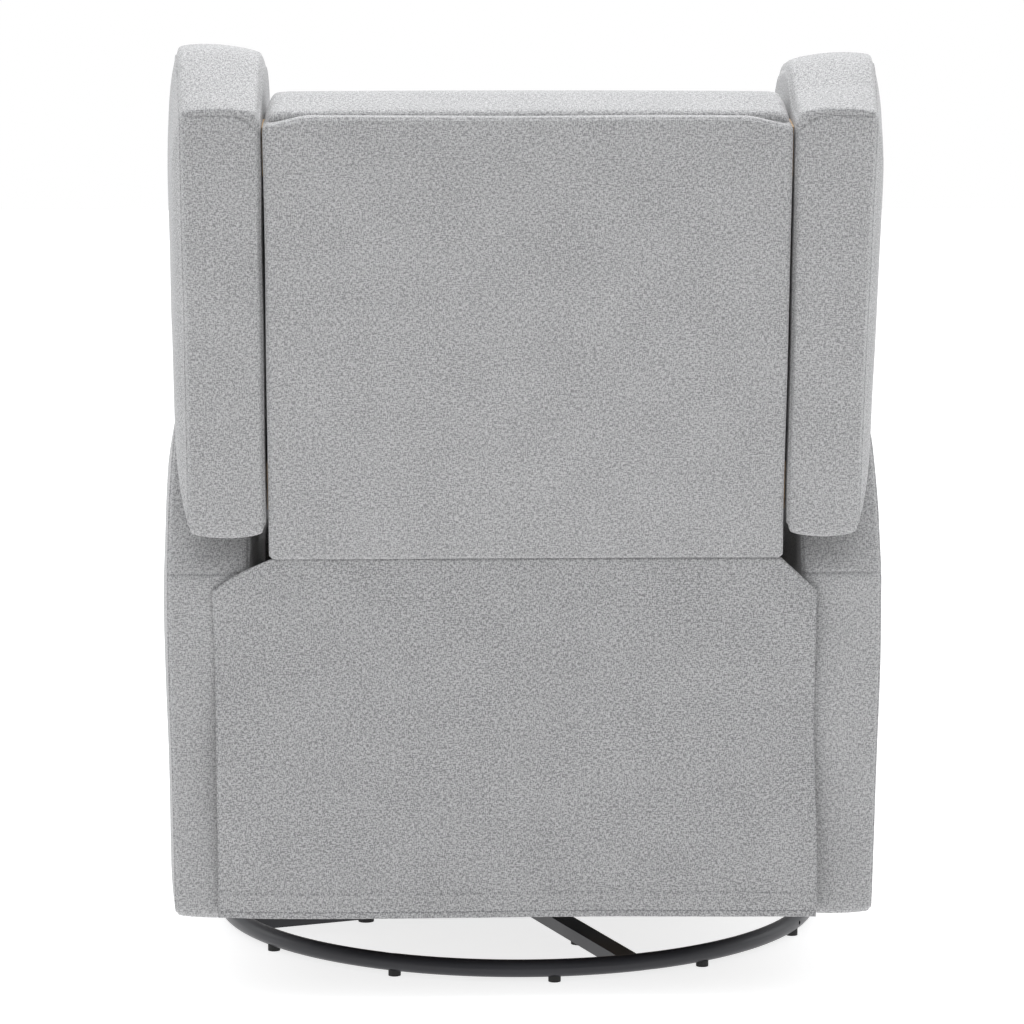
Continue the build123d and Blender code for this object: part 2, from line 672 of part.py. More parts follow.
def back_cushion():
    """The inner back: padding in front of the frame and rolled over its top."""
    front = FRAME_FRONT + 2 * WIRE_RADIUS + 0.5
    top = BACK_PANEL_RISE
    outline = [
        (front, 36),
        (262, 0),
        (268, 40),
        (262, 150),
        (222, 300),
        (176, 420),
        (150, 468),
        (110, top + 27),
        (70, top + 27),
        (30, top + 15),
        (BACK_PANEL_THICK, top),
        (BACK_PANEL_THICK, top - 14),
        (front, top - 14),
    ]
    reach = BACK_PANEL_HALF - 2
    return lean(side_prism(back_points(outline), -reach, reach))


def outer_back_panel():
    y = (BACK_BASE_Y - BACK_PANEL_THICK, BACK_BASE_Y)
    z = (BACK_BASE_HEIGHT, BACK_BASE_HEIGHT + BACK_PANEL_RISE)
    return lean(block((-BACK_PANEL_HALF, BACK_PANEL_HALF), y, z))


def wing_outline():
    """A wing seen from the side, before the back's lean."""
    rise = BACK_PANEL_RISE
    return back_points(
        [
            (0, 22),
            (108, 122),
            (236, 126),
            (246, 160),
            (258, 300),
            (262, 430),
            (250, 470),
            (210, rise + 30),
            (135, rise + 46),
            (62, rise + 42),
            (18, rise + 22),
            (0, rise),
        ]
    )


def wing_board():
    return lean(side_prism(wing_outline(), WING_INNER, WING_INNER + WING_BOARD_THICK))


def wing_pad():
    """The padded outer part of a wing, which widens towards the front."""
    start = WING_INNER + WING_BOARD_THICK
    full = side_prism(wing_outline(), start, ARM_OUTER)
    rear = WING_INNER + WING_REAR_WIDTH
    plan = [
        (start, BACK_BASE_Y + 5),
        (rear, BACK_BASE_Y + 5),
        (rear, BACK_BASE_Y),
        (ARM_OUTER, BACK_BASE_Y - 250),
        (ARM_OUTER, BACK_BASE_Y - 300),
        (start, BACK_BASE_Y - 300),
    ]
    wedge = extrude(make_face(Polyline(*plan, close=True)), amount=BACK_BASE_HEIGHT * 3)
    return lean(full & wedge)


# ---- skirt ---------------------------------------------------------------------
def rear_skirt():
    """The loose flap that hangs from the foot of the back."""
    flat_top = BACK_BASE_Y - SKIRT_REAR + SKIRT_BEVEL
    top = BACK_BASE_HEIGHT + flat_top * math.tan(math.radians(LEAN_DEG)) - SOFT_GAP
    outline = [
        (SKIRT_RIGHT, SKIRT_BOTTOM),
        (SKIRT_LEFT, SKIRT_BOTTOM),
        (SKIRT_LEFT, SKIRT_SHOULDER),
        (BACK_PANEL_HALF, top),
        (-BACK_PANEL_HALF, top),
        (SKIRT_RIGHT, SKIRT_SHOULDER),
    ]
    flat = Plane.XZ * make_face(Polyline(*outline, close=True))
    flap = Pos(0, SKIRT_REAR, 0) * extrude(flat, amount=SKIRT_THICK)
    top_rear = flap.edges().filter_by(Axis.X).group_by(Axis.Z)[-1].sort_by(Axis.Y)[-1]
    return chamfer(top_rear, SKIRT_BEVEL)


# ---- footrest ---------------------------------------------------------------------
def thigh_links():
    """The pair of swing links, each with the fixed pin of its knee."""
    hip = (HIP_Y, HIP_Z)
    knee = (KNEE_Y, KNEE_Z)
    link = flat_link(THIGH_FACE, hip, knee, LINK_WIDTH / 2)
    link -= pin_hole(THIGH_FACE, THIGH_FACE + LINK_THICK, *hip)
    link += rod_x(KNEE_FACE - 1, THIGH_FACE, *knee, PIN_RADIUS)
    return both_sides(link)


def torque_tube():
    return rod_x(-THIGH_FACE, THIGH_FACE, HIP_Y, HIP_Z, TORQUE_TUBE_RADIUS)


def knee_links():
    """The pair of links from the knees to the footrest, each with its toe pin."""
    knee = (KNEE_Y, KNEE_Z)
    toe = (TOE_Y, TOE_Z)
    link = flat_link(KNEE_FACE, knee, toe, LINK_WIDTH / 2)
    link -= pin_hole(KNEE_FACE, KNEE_FACE + LINK_THICK, *knee)
    link += rod_x(TOE_BRACKET_FACE - 1, KNEE_FACE, *toe, PIN_RADIUS)
    return both_sides(link)


def board_front():
    return FOOTREST_FACE + PAD_THICK


def footrest_brackets():
    """Ears on the rear of the board, bored for the toe pins."""
    x0 = TOE_BRACKET_FACE
    rear = board_front() + BOARD_THICK
    outline = [
        (rear, TOE_Z - BRACKET_HALF),
        (rear, TOE_Z + BRACKET_HALF),
        (TOE_Y, TOE_Z + 11),
        (TOE_Y, TOE_Z - 11),
    ]
    ear = side_prism(outline, x0, x0 + LINK_THICK)
    ear += rod_x(x0, x0 + LINK_THICK, TOE_Y, TOE_Z, 11)
    return both_sides(ear - pin_hole(x0, x0 + LINK_THICK, TOE_Y, TOE_Z))


def footrest_board():
    reach = cushion_reach() - 10
    y = (board_front(), board_front() + BOARD_THICK)
    return block((-reach, reach), y, (PAD_BOTTOM + 8, PAD_TOP - 8))


def footrest_pad():
    reach = cushion_reach()
    pad = block((-reach, reach), (FOOTREST_FACE, board_front()), (PAD_BOTTOM, PAD_TOP))
    front = pad.edges().group_by(Axis.Y)[0]
    return fillet(front, PAD_THICK * 0.3)


# ---- release ----------------------------------------------------------------------
def release_pull():
    """A stiff strap beside the right arm that lifts to free the footrest."""
    face = -SEAT_INNER + SOFT_GAP
    y = (PULL_REAR - PULL_WIDTH, PULL_REAR)
    strap = block((face, face + PULL_THICK), y, (PULL_BOTTOM, PULL_TOP))
    ends = strap.edges().filter_by(Axis.X).group_by(Axis.Z)[-1]
    return fillet(ends, PULL_WIDTH * 0.45)


# ---- parts ------------------------------------------------------------------------
def build_parts():
    place = LINK_SPACING / 2
    inner_panel = arm_panel(SEAT_INNER) - seat_block_bolts()
    rails = seat_side_rails() - both_sides(Part() + seat_block_bolts())
    parts = {
        "base_ring": base_ring(),
        "base_cross_bars": base_cross_bars(),
        "ring_feet": ring_feet(),
        "bar_feet": bar_feet(),
        "hub_plate": hub_plate(),
        "bearing_lower_race": bearing_lower_race(),
        "bearing_balls": bearing_balls(),
        "swivel_stud": swivel_stud(),
        "swivel_nut": swivel_nut(),
        "bearing_upper_race": bearing_upper_race(),
        "swivel_plate": swivel_plate(),
        "race_bolts": race_bolts(),
        "glider_cross_tubes": glider_cross_tubes(),
        "glider_side_rails": glider_side_rails(),
        "hanger_plates": hanger_plates(),
        "hanger_pins": hanger_pins(),
        "front_glide_links": glide_links(-place),
        "rear_glide_links": glide_links(place),
        "seat_side_plates": side_plates(),
        "side_plate_pins": side_plate_pins(),
        "seat_side_rails": rails,
        "seat_front_rail": seat_front_rail(),
        "seat_rear_rail": seat_rear_rail(),
        "seat_springs": seat_springs(),
        "seat_deck": seat_deck(),
        "seat_cushion": seat_cushion(),
        "recline_hinge_plates": recline_hinge_plates(),
        "arm_bolts": arm_bolts(),
        "left_arm_outer_panel": arm_panel(ARM_OUTER - ARM_SKIN),
        "left_arm_inner_panel": inner_panel,
        "left_arm_edge_pads": arm_edge_pads(),
        "left_arm_frame": arm_timbers(),
        "back_uprights": back_uprights(),
        "back_rails": back_rails(),
        "back_springs": back_springs(),
        "back_hinge_brackets": back_hinge_brackets(),
        "back_cushion": back_cushion(),
        "outer_back_panel": outer_back_panel(),
        "left_wing_board": wing_board(),
        "left_wing_pad": wing_pad(),
        "rear_skirt": rear_skirt(),
        "footrest_thigh_links": thigh_links(),
        "footrest_torque_tube": torque_tube(),
        "footrest_knee_links": knee_links(),
        "footrest_brackets": footrest_brackets(),
        "footrest_board": footrest_board(),
        "footrest_pad": footrest_pad(),
        "release_pull": release_pull(),
    }
    for name in list(parts):
        if name.startswith("left_"):
            parts[name.replace("left_", "right_", 1)] = mirror(parts[name], about=Plane.YZ)
    return parts


def main():
    os.makedirs("parts", exist_ok=True)
    for name, shape in build_parts().items():
        export_step(shape, f"parts/{name}.step")


main()
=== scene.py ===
"""Looks of a wing-back swivel glider recliner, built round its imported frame."""

import json
import logging
import math
from dataclasses import dataclass, field
from enum import Enum
from typing import Callable, Sequence

import bmesh
import bpy
import numpy as np
from mathutils import Matrix, Vector, noise


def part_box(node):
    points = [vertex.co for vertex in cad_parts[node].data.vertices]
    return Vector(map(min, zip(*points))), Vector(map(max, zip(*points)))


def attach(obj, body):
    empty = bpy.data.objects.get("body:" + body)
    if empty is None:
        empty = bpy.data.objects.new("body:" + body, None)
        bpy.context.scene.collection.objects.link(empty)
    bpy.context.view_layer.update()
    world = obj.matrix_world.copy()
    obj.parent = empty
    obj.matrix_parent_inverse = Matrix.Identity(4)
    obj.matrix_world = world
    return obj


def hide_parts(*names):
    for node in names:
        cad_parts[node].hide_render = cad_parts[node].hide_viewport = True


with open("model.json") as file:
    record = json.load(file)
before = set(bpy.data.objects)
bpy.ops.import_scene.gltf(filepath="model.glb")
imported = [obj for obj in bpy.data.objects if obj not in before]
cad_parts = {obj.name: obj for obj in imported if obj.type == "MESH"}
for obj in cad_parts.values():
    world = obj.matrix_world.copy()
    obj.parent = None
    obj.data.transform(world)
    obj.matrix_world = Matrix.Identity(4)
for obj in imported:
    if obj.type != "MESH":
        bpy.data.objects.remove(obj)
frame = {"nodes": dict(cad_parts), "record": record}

LOG = logging.getLogger("glider_chair")

# The back leans by this much about the foot of its rear face.
LEAN = math.radians(9.0)
BACK_RISE = 0.465
BACK_FOOT_HEIGHT = 0.466
# Softness of every upholstered edge, and how deep a sewn seam sits.
EDGE_ROUND = 0.006
SEAM_DEPTH = 0.0014
SEAM_HALF_WIDTH = 0.0014
# How far the panels that face the sitter stand out from flat.
INNER_CROWN = 0.001
SEAT_BODY = "seat"
BACK_BODY = "back"

Point = tuple[float, float]
Triple = tuple[float, float, float]
Colour = tuple[float, float, float, float]


class Side(Enum):
    """Which side of the chair a piece is on, as the sign of its X."""

    LEFT = 1
    RIGHT = -1

    @property
    def word(self) -> str:
        """The side's name as it stands in node names."""
        return self.name.lower()


# ---------------------------------------------------------------- node helpers
class Tree:
    """A thin wrapper that adds and links shader and geometry nodes."""

    def __init__(self, tree: bpy.types.NodeTree) -> None:
        """Starts on a node tree.

        Args:
            tree: the tree that nodes are added to.
        """
        self.tree = tree

    def add(self, kind: str, inputs: dict | None = None, **settings: object) -> bpy.types.Node:
        """Adds one node, sets its properties, and fills or links its inputs.

        Args:
            kind: Blender's node type.
            inputs: socket name or number to a value or an output socket.
            settings: properties of the node itself.

        Returns:
            The new node.
        """
        node = self.tree.nodes.new(kind)
        for name, value in settings.items():
            setattr(node, name, value)
        for key, value in (inputs or {}).items():
            socket = node.inputs[key]
            if isinstance(value, bpy.types.NodeSocket):
                self.tree.links.new(value, socket)
            else:
                socket.default_value = value
        return node

    def math(self, operation: str, first: object, second: object = 0.0) -> bpy.types.NodeSocket:
        """A Math node's result for two values or sockets.

        Args:
            operation: the Math operation.
            first: the first value or socket.
            second: the second value or socket.

        Returns:
            The output socket.
        """
        node = self.add("ShaderNodeMath", {0: first, 1: second}, operation=operation)
        return node.outputs[0]

    def streaks(self, vector: object, scale: Triple, detail: float = 2.0) -> bpy.types.NodeSocket:
        """Noise stretched by a scale along each axis.

        Args:
            vector: the coordinates to read.
            scale: cycles per metre along each axis.
            detail: how many finer layers are added.

        Returns:
            The noise value, near 0.5 on average.
        """
        place = self.add("ShaderNodeMapping", {"Vector": vector, "Scale": scale})
        cloud = self.add(
            "ShaderNodeTexNoise",
            {"Vector": place.outputs[0], "Scale": 1.0, "Detail": detail, "Roughness": 0.55},
        )
        return cloud.outputs[0]


def new_group(name: str, inputs: Sequence[tuple], outputs: Sequence[tuple]) -> tuple:
    """Makes an empty shader group with named sockets.

    Args:
        name: the group's name.
        inputs: (name, socket type, default value) for each input.
        outputs: (name, socket type) for each output.

    Returns:
        The group, its Tree, its input node and its output node.
    """
    group = bpy.data.node_groups.new(name, "ShaderNodeTree")
    for label, kind, value in inputs:
        socket = group.interface.new_socket(name=label, in_out="INPUT", socket_type=kind)
        socket.default_value = value
    for label, kind in outputs:
        group.interface.new_socket(name=label, in_out="OUTPUT", socket_type=kind)
    tree = Tree(group)
    start = tree.add("NodeGroupInput")
    end = tree.add("NodeGroupOutput")
    return group, tree, start, end


def linen_group() -> bpy.types.NodeTree:
    """A heathered plain weave: slubby warp and weft, flecks, and the height of its threads."""
    group, tree, start, end = new_group(
        "linen_weave",
        [
            ("Vector", "NodeSocketVector", (0, 0, 0)),
            ("Light yarn", "NodeSocketColor", (0.6, 0.6, 0.6, 1)),
            ("Dark yarn", "NodeSocketColor", (0.2, 0.2, 0.2, 1)),
            ("Thread pitch", "NodeSocketFloat", 0.0011),
            ("Contrast", "NodeSocketFloat", 1.0),
        ],
        [("Color", "NodeSocketColor"), ("Height", "NodeSocketFloat")],
    )
    place = start.outputs["Vector"]
    warp = tree.streaks(place, (640, 190, 190))
    weft = tree.streaks(place, (170, 600, 170))
    fine_warp = tree.streaks(place, (1000, 330, 330), 1.0)
    fine_weft = tree.streaks(place, (300, 950, 300), 1.0)
    fleck = tree.streaks(place, (900, 900, 900), 3.0)
    patch = tree.streaks(place, (16, 16, 16), 2.0)
    coarse = tree.math("ADD", warp, weft)
    fine = tree.math("ADD", fine_warp, fine_weft)
    coarse = tree.math("MULTIPLY", tree.math("SUBTRACT", coarse, 1.0), 0.8)
    fine = tree.math("MULTIPLY", tree.math("SUBTRACT", fine, 1.0), 1.9)
    fleck = tree.math("MULTIPLY", tree.math("SUBTRACT", fleck, 0.5), 1.1)
    patch = tree.math("MULTIPLY", tree.math("SUBTRACT", patch, 0.5), 0.2)
    total = tree.math("ADD", tree.math("ADD", coarse, fine), tree.math("ADD", fleck, patch))
    total = tree.math("MULTIPLY", total, start.outputs["Contrast"])
    share = tree.add("ShaderNodeMath", {0: total, 1: 0.5}, operation="ADD", use_clamp=True)
    mix = tree.add(
        "ShaderNodeMix",
        {
            0: share.outputs[0],
            6: start.outputs["Dark yarn"],
            7: start.outputs["Light yarn"],
        },
        data_type="RGBA",
    )
    split = tree.add("ShaderNodeSeparateXYZ", {0: place})
    rate = tree.math("DIVIDE", math.tau / 2, start.outputs["Thread pitch"])
    across = tree.math("SINE", tree.math("MULTIPLY", split.outputs[0], rate))
    along = tree.math("SINE", tree.math("MULTIPLY", split.outputs[1], rate))
    weave = tree.math("MULTIPLY", tree.math("MULTIPLY", across, along), 0.35)
    height = tree.math("ADD", tree.math("ADD", weave, fine), coarse)
    tree.tree.links.new(mix.outputs[2], end.inputs["Color"])
    tree.tree.links.new(height, end.inputs["Height"])
    return group


def wear_group() -> bpy.types.NodeTree:
    """Fine mottling and handling marks for painted, ground or drawn metal and for rubber."""
    group, tree, start, end = new_group(
        "handling_wear",
        [
            ("Vector", "NodeSocketVector", (0, 0, 0)),
            ("Color", "NodeSocketColor", (0.02, 0.02, 0.02, 1)),
            ("Worn color", "NodeSocketColor", (0.06, 0.06, 0.06, 1)),
            ("Wear", "NodeSocketFloat", 0.2),
            ("Roughness", "NodeSocketFloat", 0.4),
            ("Grain", "NodeSocketFloat", 900.0),
        ],
        [("Color", "NodeSocketColor"), ("Roughness", "NodeSocketFloat"), ("Height", "NodeSocketFloat")],
    )
    place = start.outputs["Vector"]
    cloud = tree.add("ShaderNodeTexNoise", {"Vector": place, "Scale": 14.0, "Detail": 5.0})
    grain = tree.add(
        "ShaderNodeTexNoise", {"Vector": place, "Scale": start.outputs["Grain"], "Detail": 2.0}
    )
    marks = tree.math("MULTIPLY", cloud.outputs[0], start.outputs["Wear"])
    mix = tree.add(
        "ShaderNodeMix",
        {0: marks, 6: start.outputs["Color"], 7: start.outputs["Worn color"]},
        data_type="RGBA",
    )
    spread = tree.math("MULTIPLY", tree.math("SUBTRACT", cloud.outputs[0], 0.5), 0.22)
    rough = tree.math("ADD", start.outputs["Roughness"], spread)
    tree.tree.links.new(mix.outputs[2], end.inputs["Color"])
    tree.tree.links.new(rough, end.inputs["Roughness"])
    tree.tree.links.new(grain.outputs[0], end.inputs["Height"])
    return group


# ---------------------------------------------------------------- finishes
@dataclass(frozen=True)
class Finish:
    """What every finish shares: a name and how its surface answers light.

    Attributes:
        name: the material's name.
        roughness: the Principled shader's roughness.
        bump: distance of the bump in metres.
    """

    name: str
    roughness: float = 0.5
    bump: float = 0.0002

    def begin(self) -> tuple[bpy.types.Material, Tree, bpy.types.Node]:
        """Starts a node material with its shader already linked to the output."""
        material = bpy.data.materials.new(self.name)
        material.use_nodes = True
        material.node_tree.nodes.clear()
        tree = Tree(material.node_tree)
        shader = tree.add("ShaderNodeBsdfPrincipled", {"Roughness": self.roughness})
        tree.add("ShaderNodeOutputMaterial", {"Surface": shader.outputs[0]})
        return material, tree, shader

    def relief(self, tree: Tree, shader: bpy.types.Node, height: object, strength: float) -> None:
        """Feeds a height into the shader's normal through a Bump node.

        Args:
            tree: the material's tree.
            shader: the material's shader node.
            height: the height to read.
            strength: how strongly it shows.
        """
        bump = tree.add(
            "ShaderNodeBump", {"Height": height, "Distance": self.bump, "Strength": strength}
        )
        tree.tree.links.new(bump.outputs[0], shader.inputs["Normal"])


@dataclass(frozen=True)
class LinenFinish(Finish):
    """Heathered linen-weave upholstery cloth, laid on a piece's own UV map."""

    light: Colour = (0.565, 0.563, 0.567, 1)
    dark: Colour = (0.255, 0.254, 0.258, 1)
    pitch: float = 0.0011
    contrast: float = 1.35
    relief_strength: float = 0.5
    own_map: bool = True

    def build(self, weave: bpy.types.NodeTree) -> bpy.types.Material:
        """Makes the cloth.

        Args:
            weave: the shared weave group.

        Returns:
            The material.
        """
        material, tree, shader = self.begin()
        if self.own_map:
            threads = tree.add("ShaderNodeUVMap", uv_map="cloth").outputs[0]
        else:
            threads = tree.add("ShaderNodeTexCoord").outputs["Object"]
        group = tree.add(
            "ShaderNodeGroup",
            node_tree=weave,
        )
        tree.tree.links.new(threads, group.inputs["Vector"])
        group.inputs["Light yarn"].default_value = self.light
        group.inputs["Dark yarn"].default_value = self.dark
        group.inputs["Thread pitch"].default_value = self.pitch
        group.inputs["Contrast"].default_value = self.contrast
        tree.tree.links.new(group.outputs["Color"], shader.inputs["Base Color"])
        shader.inputs["Sheen Weight"].default_value = 0.18
        shader.inputs["Sheen Roughness"].default_value = 0.5
        shader.inputs["Specular IOR Level"].default_value = 0.2
        self.relief(tree, shader, group.outputs["Height"], self.relief_strength)
        return material


@dataclass(frozen=True)
class WornFinish(Finish):
    """Paint, bare metal or rubber with light mottling."""

    colour: Colour = (0.02, 0.02, 0.02, 1)
    worn: Colour = (0.05, 0.05, 0.05, 1)
    wear: float = 0.2
    metallic: float = 0.0
    coat: float = 0.0
    grain: float = 900.0
    relief_strength: float = 0.2

    def build(self, wear: bpy.types.NodeTree) -> bpy.types.Material:
        """Makes the finish.

        Args:
            wear: the shared wear group.

        Returns:
            The material.
        """
        material, tree, shader = self.begin()
        place = tree.add("ShaderNodeTexCoord")
        group = tree.add("ShaderNodeGroup", node_tree=wear)
        tree.tree.links.new(place.outputs["Object"], group.inputs["Vector"])
        group.inputs["Color"].default_value = self.colour
        group.inputs["Worn color"].default_value = self.worn
        group.inputs["Wear"].default_value = self.wear
        group.inputs["Roughness"].default_value = self.roughness
        group.inputs["Grain"].default_value = self.grain
        tree.tree.links.new(group.outputs["Color"], shader.inputs["Base Color"])
        tree.tree.links.new(group.outputs["Roughness"], shader.inputs["Roughness"])
        shader.inputs["Metallic"].default_value = self.metallic
        shader.inputs["Coat Weight"].default_value = self.coat
        self.relief(tree, shader, group.outputs["Height"], self.relief_strength)
        return material


@dataclass(frozen=True)
class TimberFinish(Finish):
    """Planed softwood with grain along one axis."""

    pale: Colour = (0.62, 0.44, 0.26, 1)
    dark: Colour = (0.42, 0.26, 0.13, 1)

    def build(self) -> bpy.types.Material:
        """Makes the wood.

        Returns:
            The material.
        """
        material, tree, shader = self.begin()
        place = tree.add("ShaderNodeTexCoord")
        rings = tree.streaks(place.outputs["Object"], (45, 7, 45), 4.0)
        pores = tree.streaks(place.outputs["Object"], (900, 60, 900), 1.0)
        share = tree.math("ADD", rings, tree.math("MULTIPLY", tree.math("SUBTRACT", pores, 0.5), 0.4))
        mix = tree.add("ShaderNodeMix", {0: share, 6: self.dark, 7: self.pale}, data_type="RGBA")
        tree.tree.links.new(mix.outputs[2], shader.inputs["Base Color"])
        self.relief(tree, shader, pores, 0.3)
        return material


@dataclass
class Finishes:
    """Every material of the chair, made once."""

    cloth: bpy.types.Material = field(init=False)
    skirt_cloth: bpy.types.Material = field(init=False)
    thread: bpy.types.Material = field(init=False)
    tube: bpy.types.Material = field(init=False)
    enamel: bpy.types.Material = field(init=False)
    steel: bpy.types.Material = field(init=False)
    spring: bpy.types.Material = field(init=False)
    zinc: bpy.types.Material = field(init=False)
    rubber: bpy.types.Material = field(init=False)
    timber: bpy.types.Material = field(init=False)
    felt: bpy.types.Material = field(init=False)
    tape: bpy.types.Material = field(init=False)

    def __post_init__(self) -> None:
        """Builds the shared groups and then each finish."""
        weave = linen_group()
        wear = wear_group()
        self.cloth = LinenFinish("linen_cloth", 0.93).build(weave)
        # The hanging flap gets a darker copy of the same linen: its darker yarns are painted shade on that
        # flap, and its contrast is a little higher.
        self.skirt_cloth = LinenFinish(
            "linen_skirt_painted_shade",
            0.93,
            light=(0.555, 0.553, 0.557, 1),
            dark=(0.235, 0.234, 0.238, 1),
            contrast=1.5,
        ).build(weave)
        self.thread = WornFinish(
            "sewing_thread", 0.8, colour=(0.20, 0.20, 0.21, 1), worn=(0.3, 0.3, 0.31, 1)
        ).build(wear)
        self.tube = WornFinish(
            "satin_black_tube",
            0.36,
            bump=0.00004,
            colour=(0.022, 0.022, 0.027, 1),
            worn=(0.042, 0.042, 0.05, 1),
            wear=0.5,
            grain=1600.0,
        ).build(wear)
        self.enamel = WornFinish(
            "black_enamel", 0.42, bump=0.00005, colour=(0.03, 0.03, 0.033, 1), wear=0.5
        ).build(wear)
        self.steel = WornFinish(
            "ground_steel",
            0.3,
            bump=0.00002,
            colour=(0.56, 0.56, 0.57, 1),
            worn=(0.4, 0.4, 0.41, 1),
            metallic=1.0,
            wear=0.6,
        ).build(wear)
        self.spring = WornFinish(
            "spring_wire",
            0.38,
            bump=0.00002,
            colour=(0.3, 0.29, 0.28, 1),
            worn=(0.16, 0.14, 0.12, 1),
            metallic=1.0,
            wear=0.8,
        ).build(wear)
        self.zinc = WornFinish(
            "zinc_plate",
            0.32,
            bump=0.00002,
            colour=(0.62, 0.62, 0.6, 1),
            worn=(0.45, 0.45, 0.42, 1),
            metallic=1.0,
            wear=0.6,
        ).build(wear)
        self.rubber = WornFinish(
            "foot_rubber", 0.75, colour=(0.018, 0.018, 0.018, 1), worn=(0.05, 0.05, 0.05, 1)
        ).build(wear)
        self.timber = TimberFinish("planed_timber", 0.6).build()
        self.felt = LinenFinish(
            "deck_felt",
            0.95,
            light=(0.09, 0.09, 0.09, 1),
            dark=(0.04, 0.04, 0.04, 1),
            pitch=0.003,
            own_map=False,
        ).build(weave)
        self.tape = LinenFinish(
            "webbing_tape",
            0.8,
            light=(0.34, 0.34, 0.35, 1),
            dark=(0.16, 0.16, 0.17, 1),
            pitch=0.0016,
            own_map=False,
        ).build(weave)


# ---------------------------------------------------------------- mesh helpers
def rounded(points: Sequence[Point], radii: Sequence[float], step: float) -> np.ndarray:
    """A closed outline with its corners rounded, sampled at an even spacing.

    Args:
        points: the corners in order, anticlockwise.
        radii: a radius for each corner.
        step: the spacing of the samples in metres.

    Returns:
        The samples as an array of rows.
    """
    corners = [Vector(point) for point in points]
    path: list[Vector] = []
    count = len(corners)
    for index, corner in enumerate(corners):
        before = (corners[index - 1] - corner).normalized()
        after = (corners[(index + 1) % count] - corner).normalized()
        opening = before.angle(after)
        reach = radii[index] / math.tan(opening / 2)
        start, end = corner + before * reach, corner + after * reach
        middle = corner + (before + after).normalized() * (radii[index] / math.sin(opening / 2))
        turns = max(2, int(radii[index] * (math.pi - opening) / step) + 2)
        for turn in range(turns + 1):
            share = turn / turns
            chord = start.lerp(end, share) - middle
            path.append(middle + chord.normalized() * radii[index])
    path.append(path[0])
    line = np.array([tuple(point) for point in path])
    run = np.concatenate([[0], np.cumsum(np.hypot(*np.diff(line, axis=0).T))])
    places = np.linspace(0, run[-1], max(8, int(run[-1] / step)), endpoint=False)
    return np.column_stack([np.interp(places, run, line[:, axis]) for axis in (0, 1)])


def densify(outline: np.ndarray, near: Callable[[np.ndarray], np.ndarray], parts: int) -> np.ndarray:
    """Adds samples where near(points) is true, so that a seam there has room for its shape.

    Args:
        outline: the samples of a closed outline.
        near: tells for each row whether it lies by a seam.
        parts: how many steps each such step becomes.

    Returns:
        The outline with the extra samples.
    """
    rows = []
    flags = near(outline)
    count = len(outline)
    for index in range(count):
        here, there = outline[index], outline[(index + 1) % count]
        pieces = parts if flags[index] or flags[(index + 1) % count] else 1
        rows += [here + (there - here) * (piece / pieces) for piece in range(pieces)]
    return np.array(rows)


def mesh_object(
    name: str, vertices: np.ndarray, faces: Sequence, material: bpy.types.Material
) -> bpy.types.Object:
    """Makes a smooth-shaded mesh object at the origin.

    Args:
        name: the name that it gets.
        vertices: rows of x, y and z.
        faces: corner numbers of each face.
        material: the material of every face.

    Returns:
        The linked object.
    """
    mesh = bpy.data.meshes.new(name)
    mesh.from_pydata([tuple(map(float, vertex)) for vertex in vertices], [], [tuple(f) for f in faces])
    mesh.materials.append(material)
    mesh.polygons.foreach_set("use_smooth", [True] * len(mesh.polygons))
    mesh.update()
    obj = bpy.data.objects.new(name, mesh)
    bpy.context.scene.collection.objects.link(obj)
    return obj


def outward(obj: bpy.types.Object) -> None:
    """Merges doubles and turns every face outwards.

    Args:
        obj: the mesh object.
    """
    work = bmesh.new()
    work.from_mesh(obj.data)
    bmesh.ops.remove_doubles(work, verts=work.verts, dist=1e-6)
    bmesh.ops.recalc_face_normals(work, faces=work.faces)
    work.to_mesh(obj.data)
    work.free()


def lay_cloth(obj: bpy.types.Object, lean: float = 0.0) -> None:
    """Lays a UV map in metres on a mesh, each face along the axis that it faces.

    Args:
        obj: the mesh object.
        lean: how far the piece leans back, so that the weave runs with it.
    """
    mesh = obj.data
    layer = mesh.uv_layers.get("cloth") or mesh.uv_layers.new(name="cloth")
    turn = Matrix.Rotation(lean, 3, "X")
    places = np.array([tuple(turn @ vertex.co) for vertex in mesh.vertices])
    corners = np.zeros((len(mesh.loops), 2))
    for face in mesh.polygons:
        normal = turn @ face.normal
        sizes = [abs(value) for value in normal]
        flat = sizes.index(max(sizes))
        first, second = ((1, 2), (0, 2), (0, 1))[flat]
        for loop in face.loop_indices:
            place = places[mesh.loops[loop].vertex_index]
            corners[loop] = (place[first], place[second] + 0.37 * flat)
    layer.data.foreach_set("uv", corners.ravel())


def lean_back(places: np.ndarray, foot_y: float) -> np.ndarray:
    """Turns places drawn with an upright back about the foot of its rear face.

    Args:
        places: rows of x, y, z.
        foot_y: the Y of the foot of the rear face.

    Returns:
        The turned rows.
    """
    out = places.copy()
    y, z = places[:, 1] - foot_y, places[:, 2] - BACK_FOOT_HEIGHT
    out[:, 1] = foot_y + y * math.cos(LEAN) + z * math.sin(LEAN)
    out[:, 2] = BACK_FOOT_HEIGHT - y * math.sin(LEAN) + z * math.cos(LEAN)
    return out


def groove(distance: np.ndarray, depth: float = SEAM_DEPTH, half: float = SEAM_HALF_WIDTH) -> np.ndarray:
    """How far a seam pulls the surface in, at each distance from it.

    Args:
        distance: distances from the seam, in metres.
        depth: how deep the seam sits.
        half: half of its width.

    Returns:
        How far to sink each point, in metres.
    """
    near = np.exp(-((distance / half) ** 2))
    shoulder = np.exp(-((distance / (half * 5)) ** 2))
    return depth * (0.75 * near + 0.25 * shoulder)


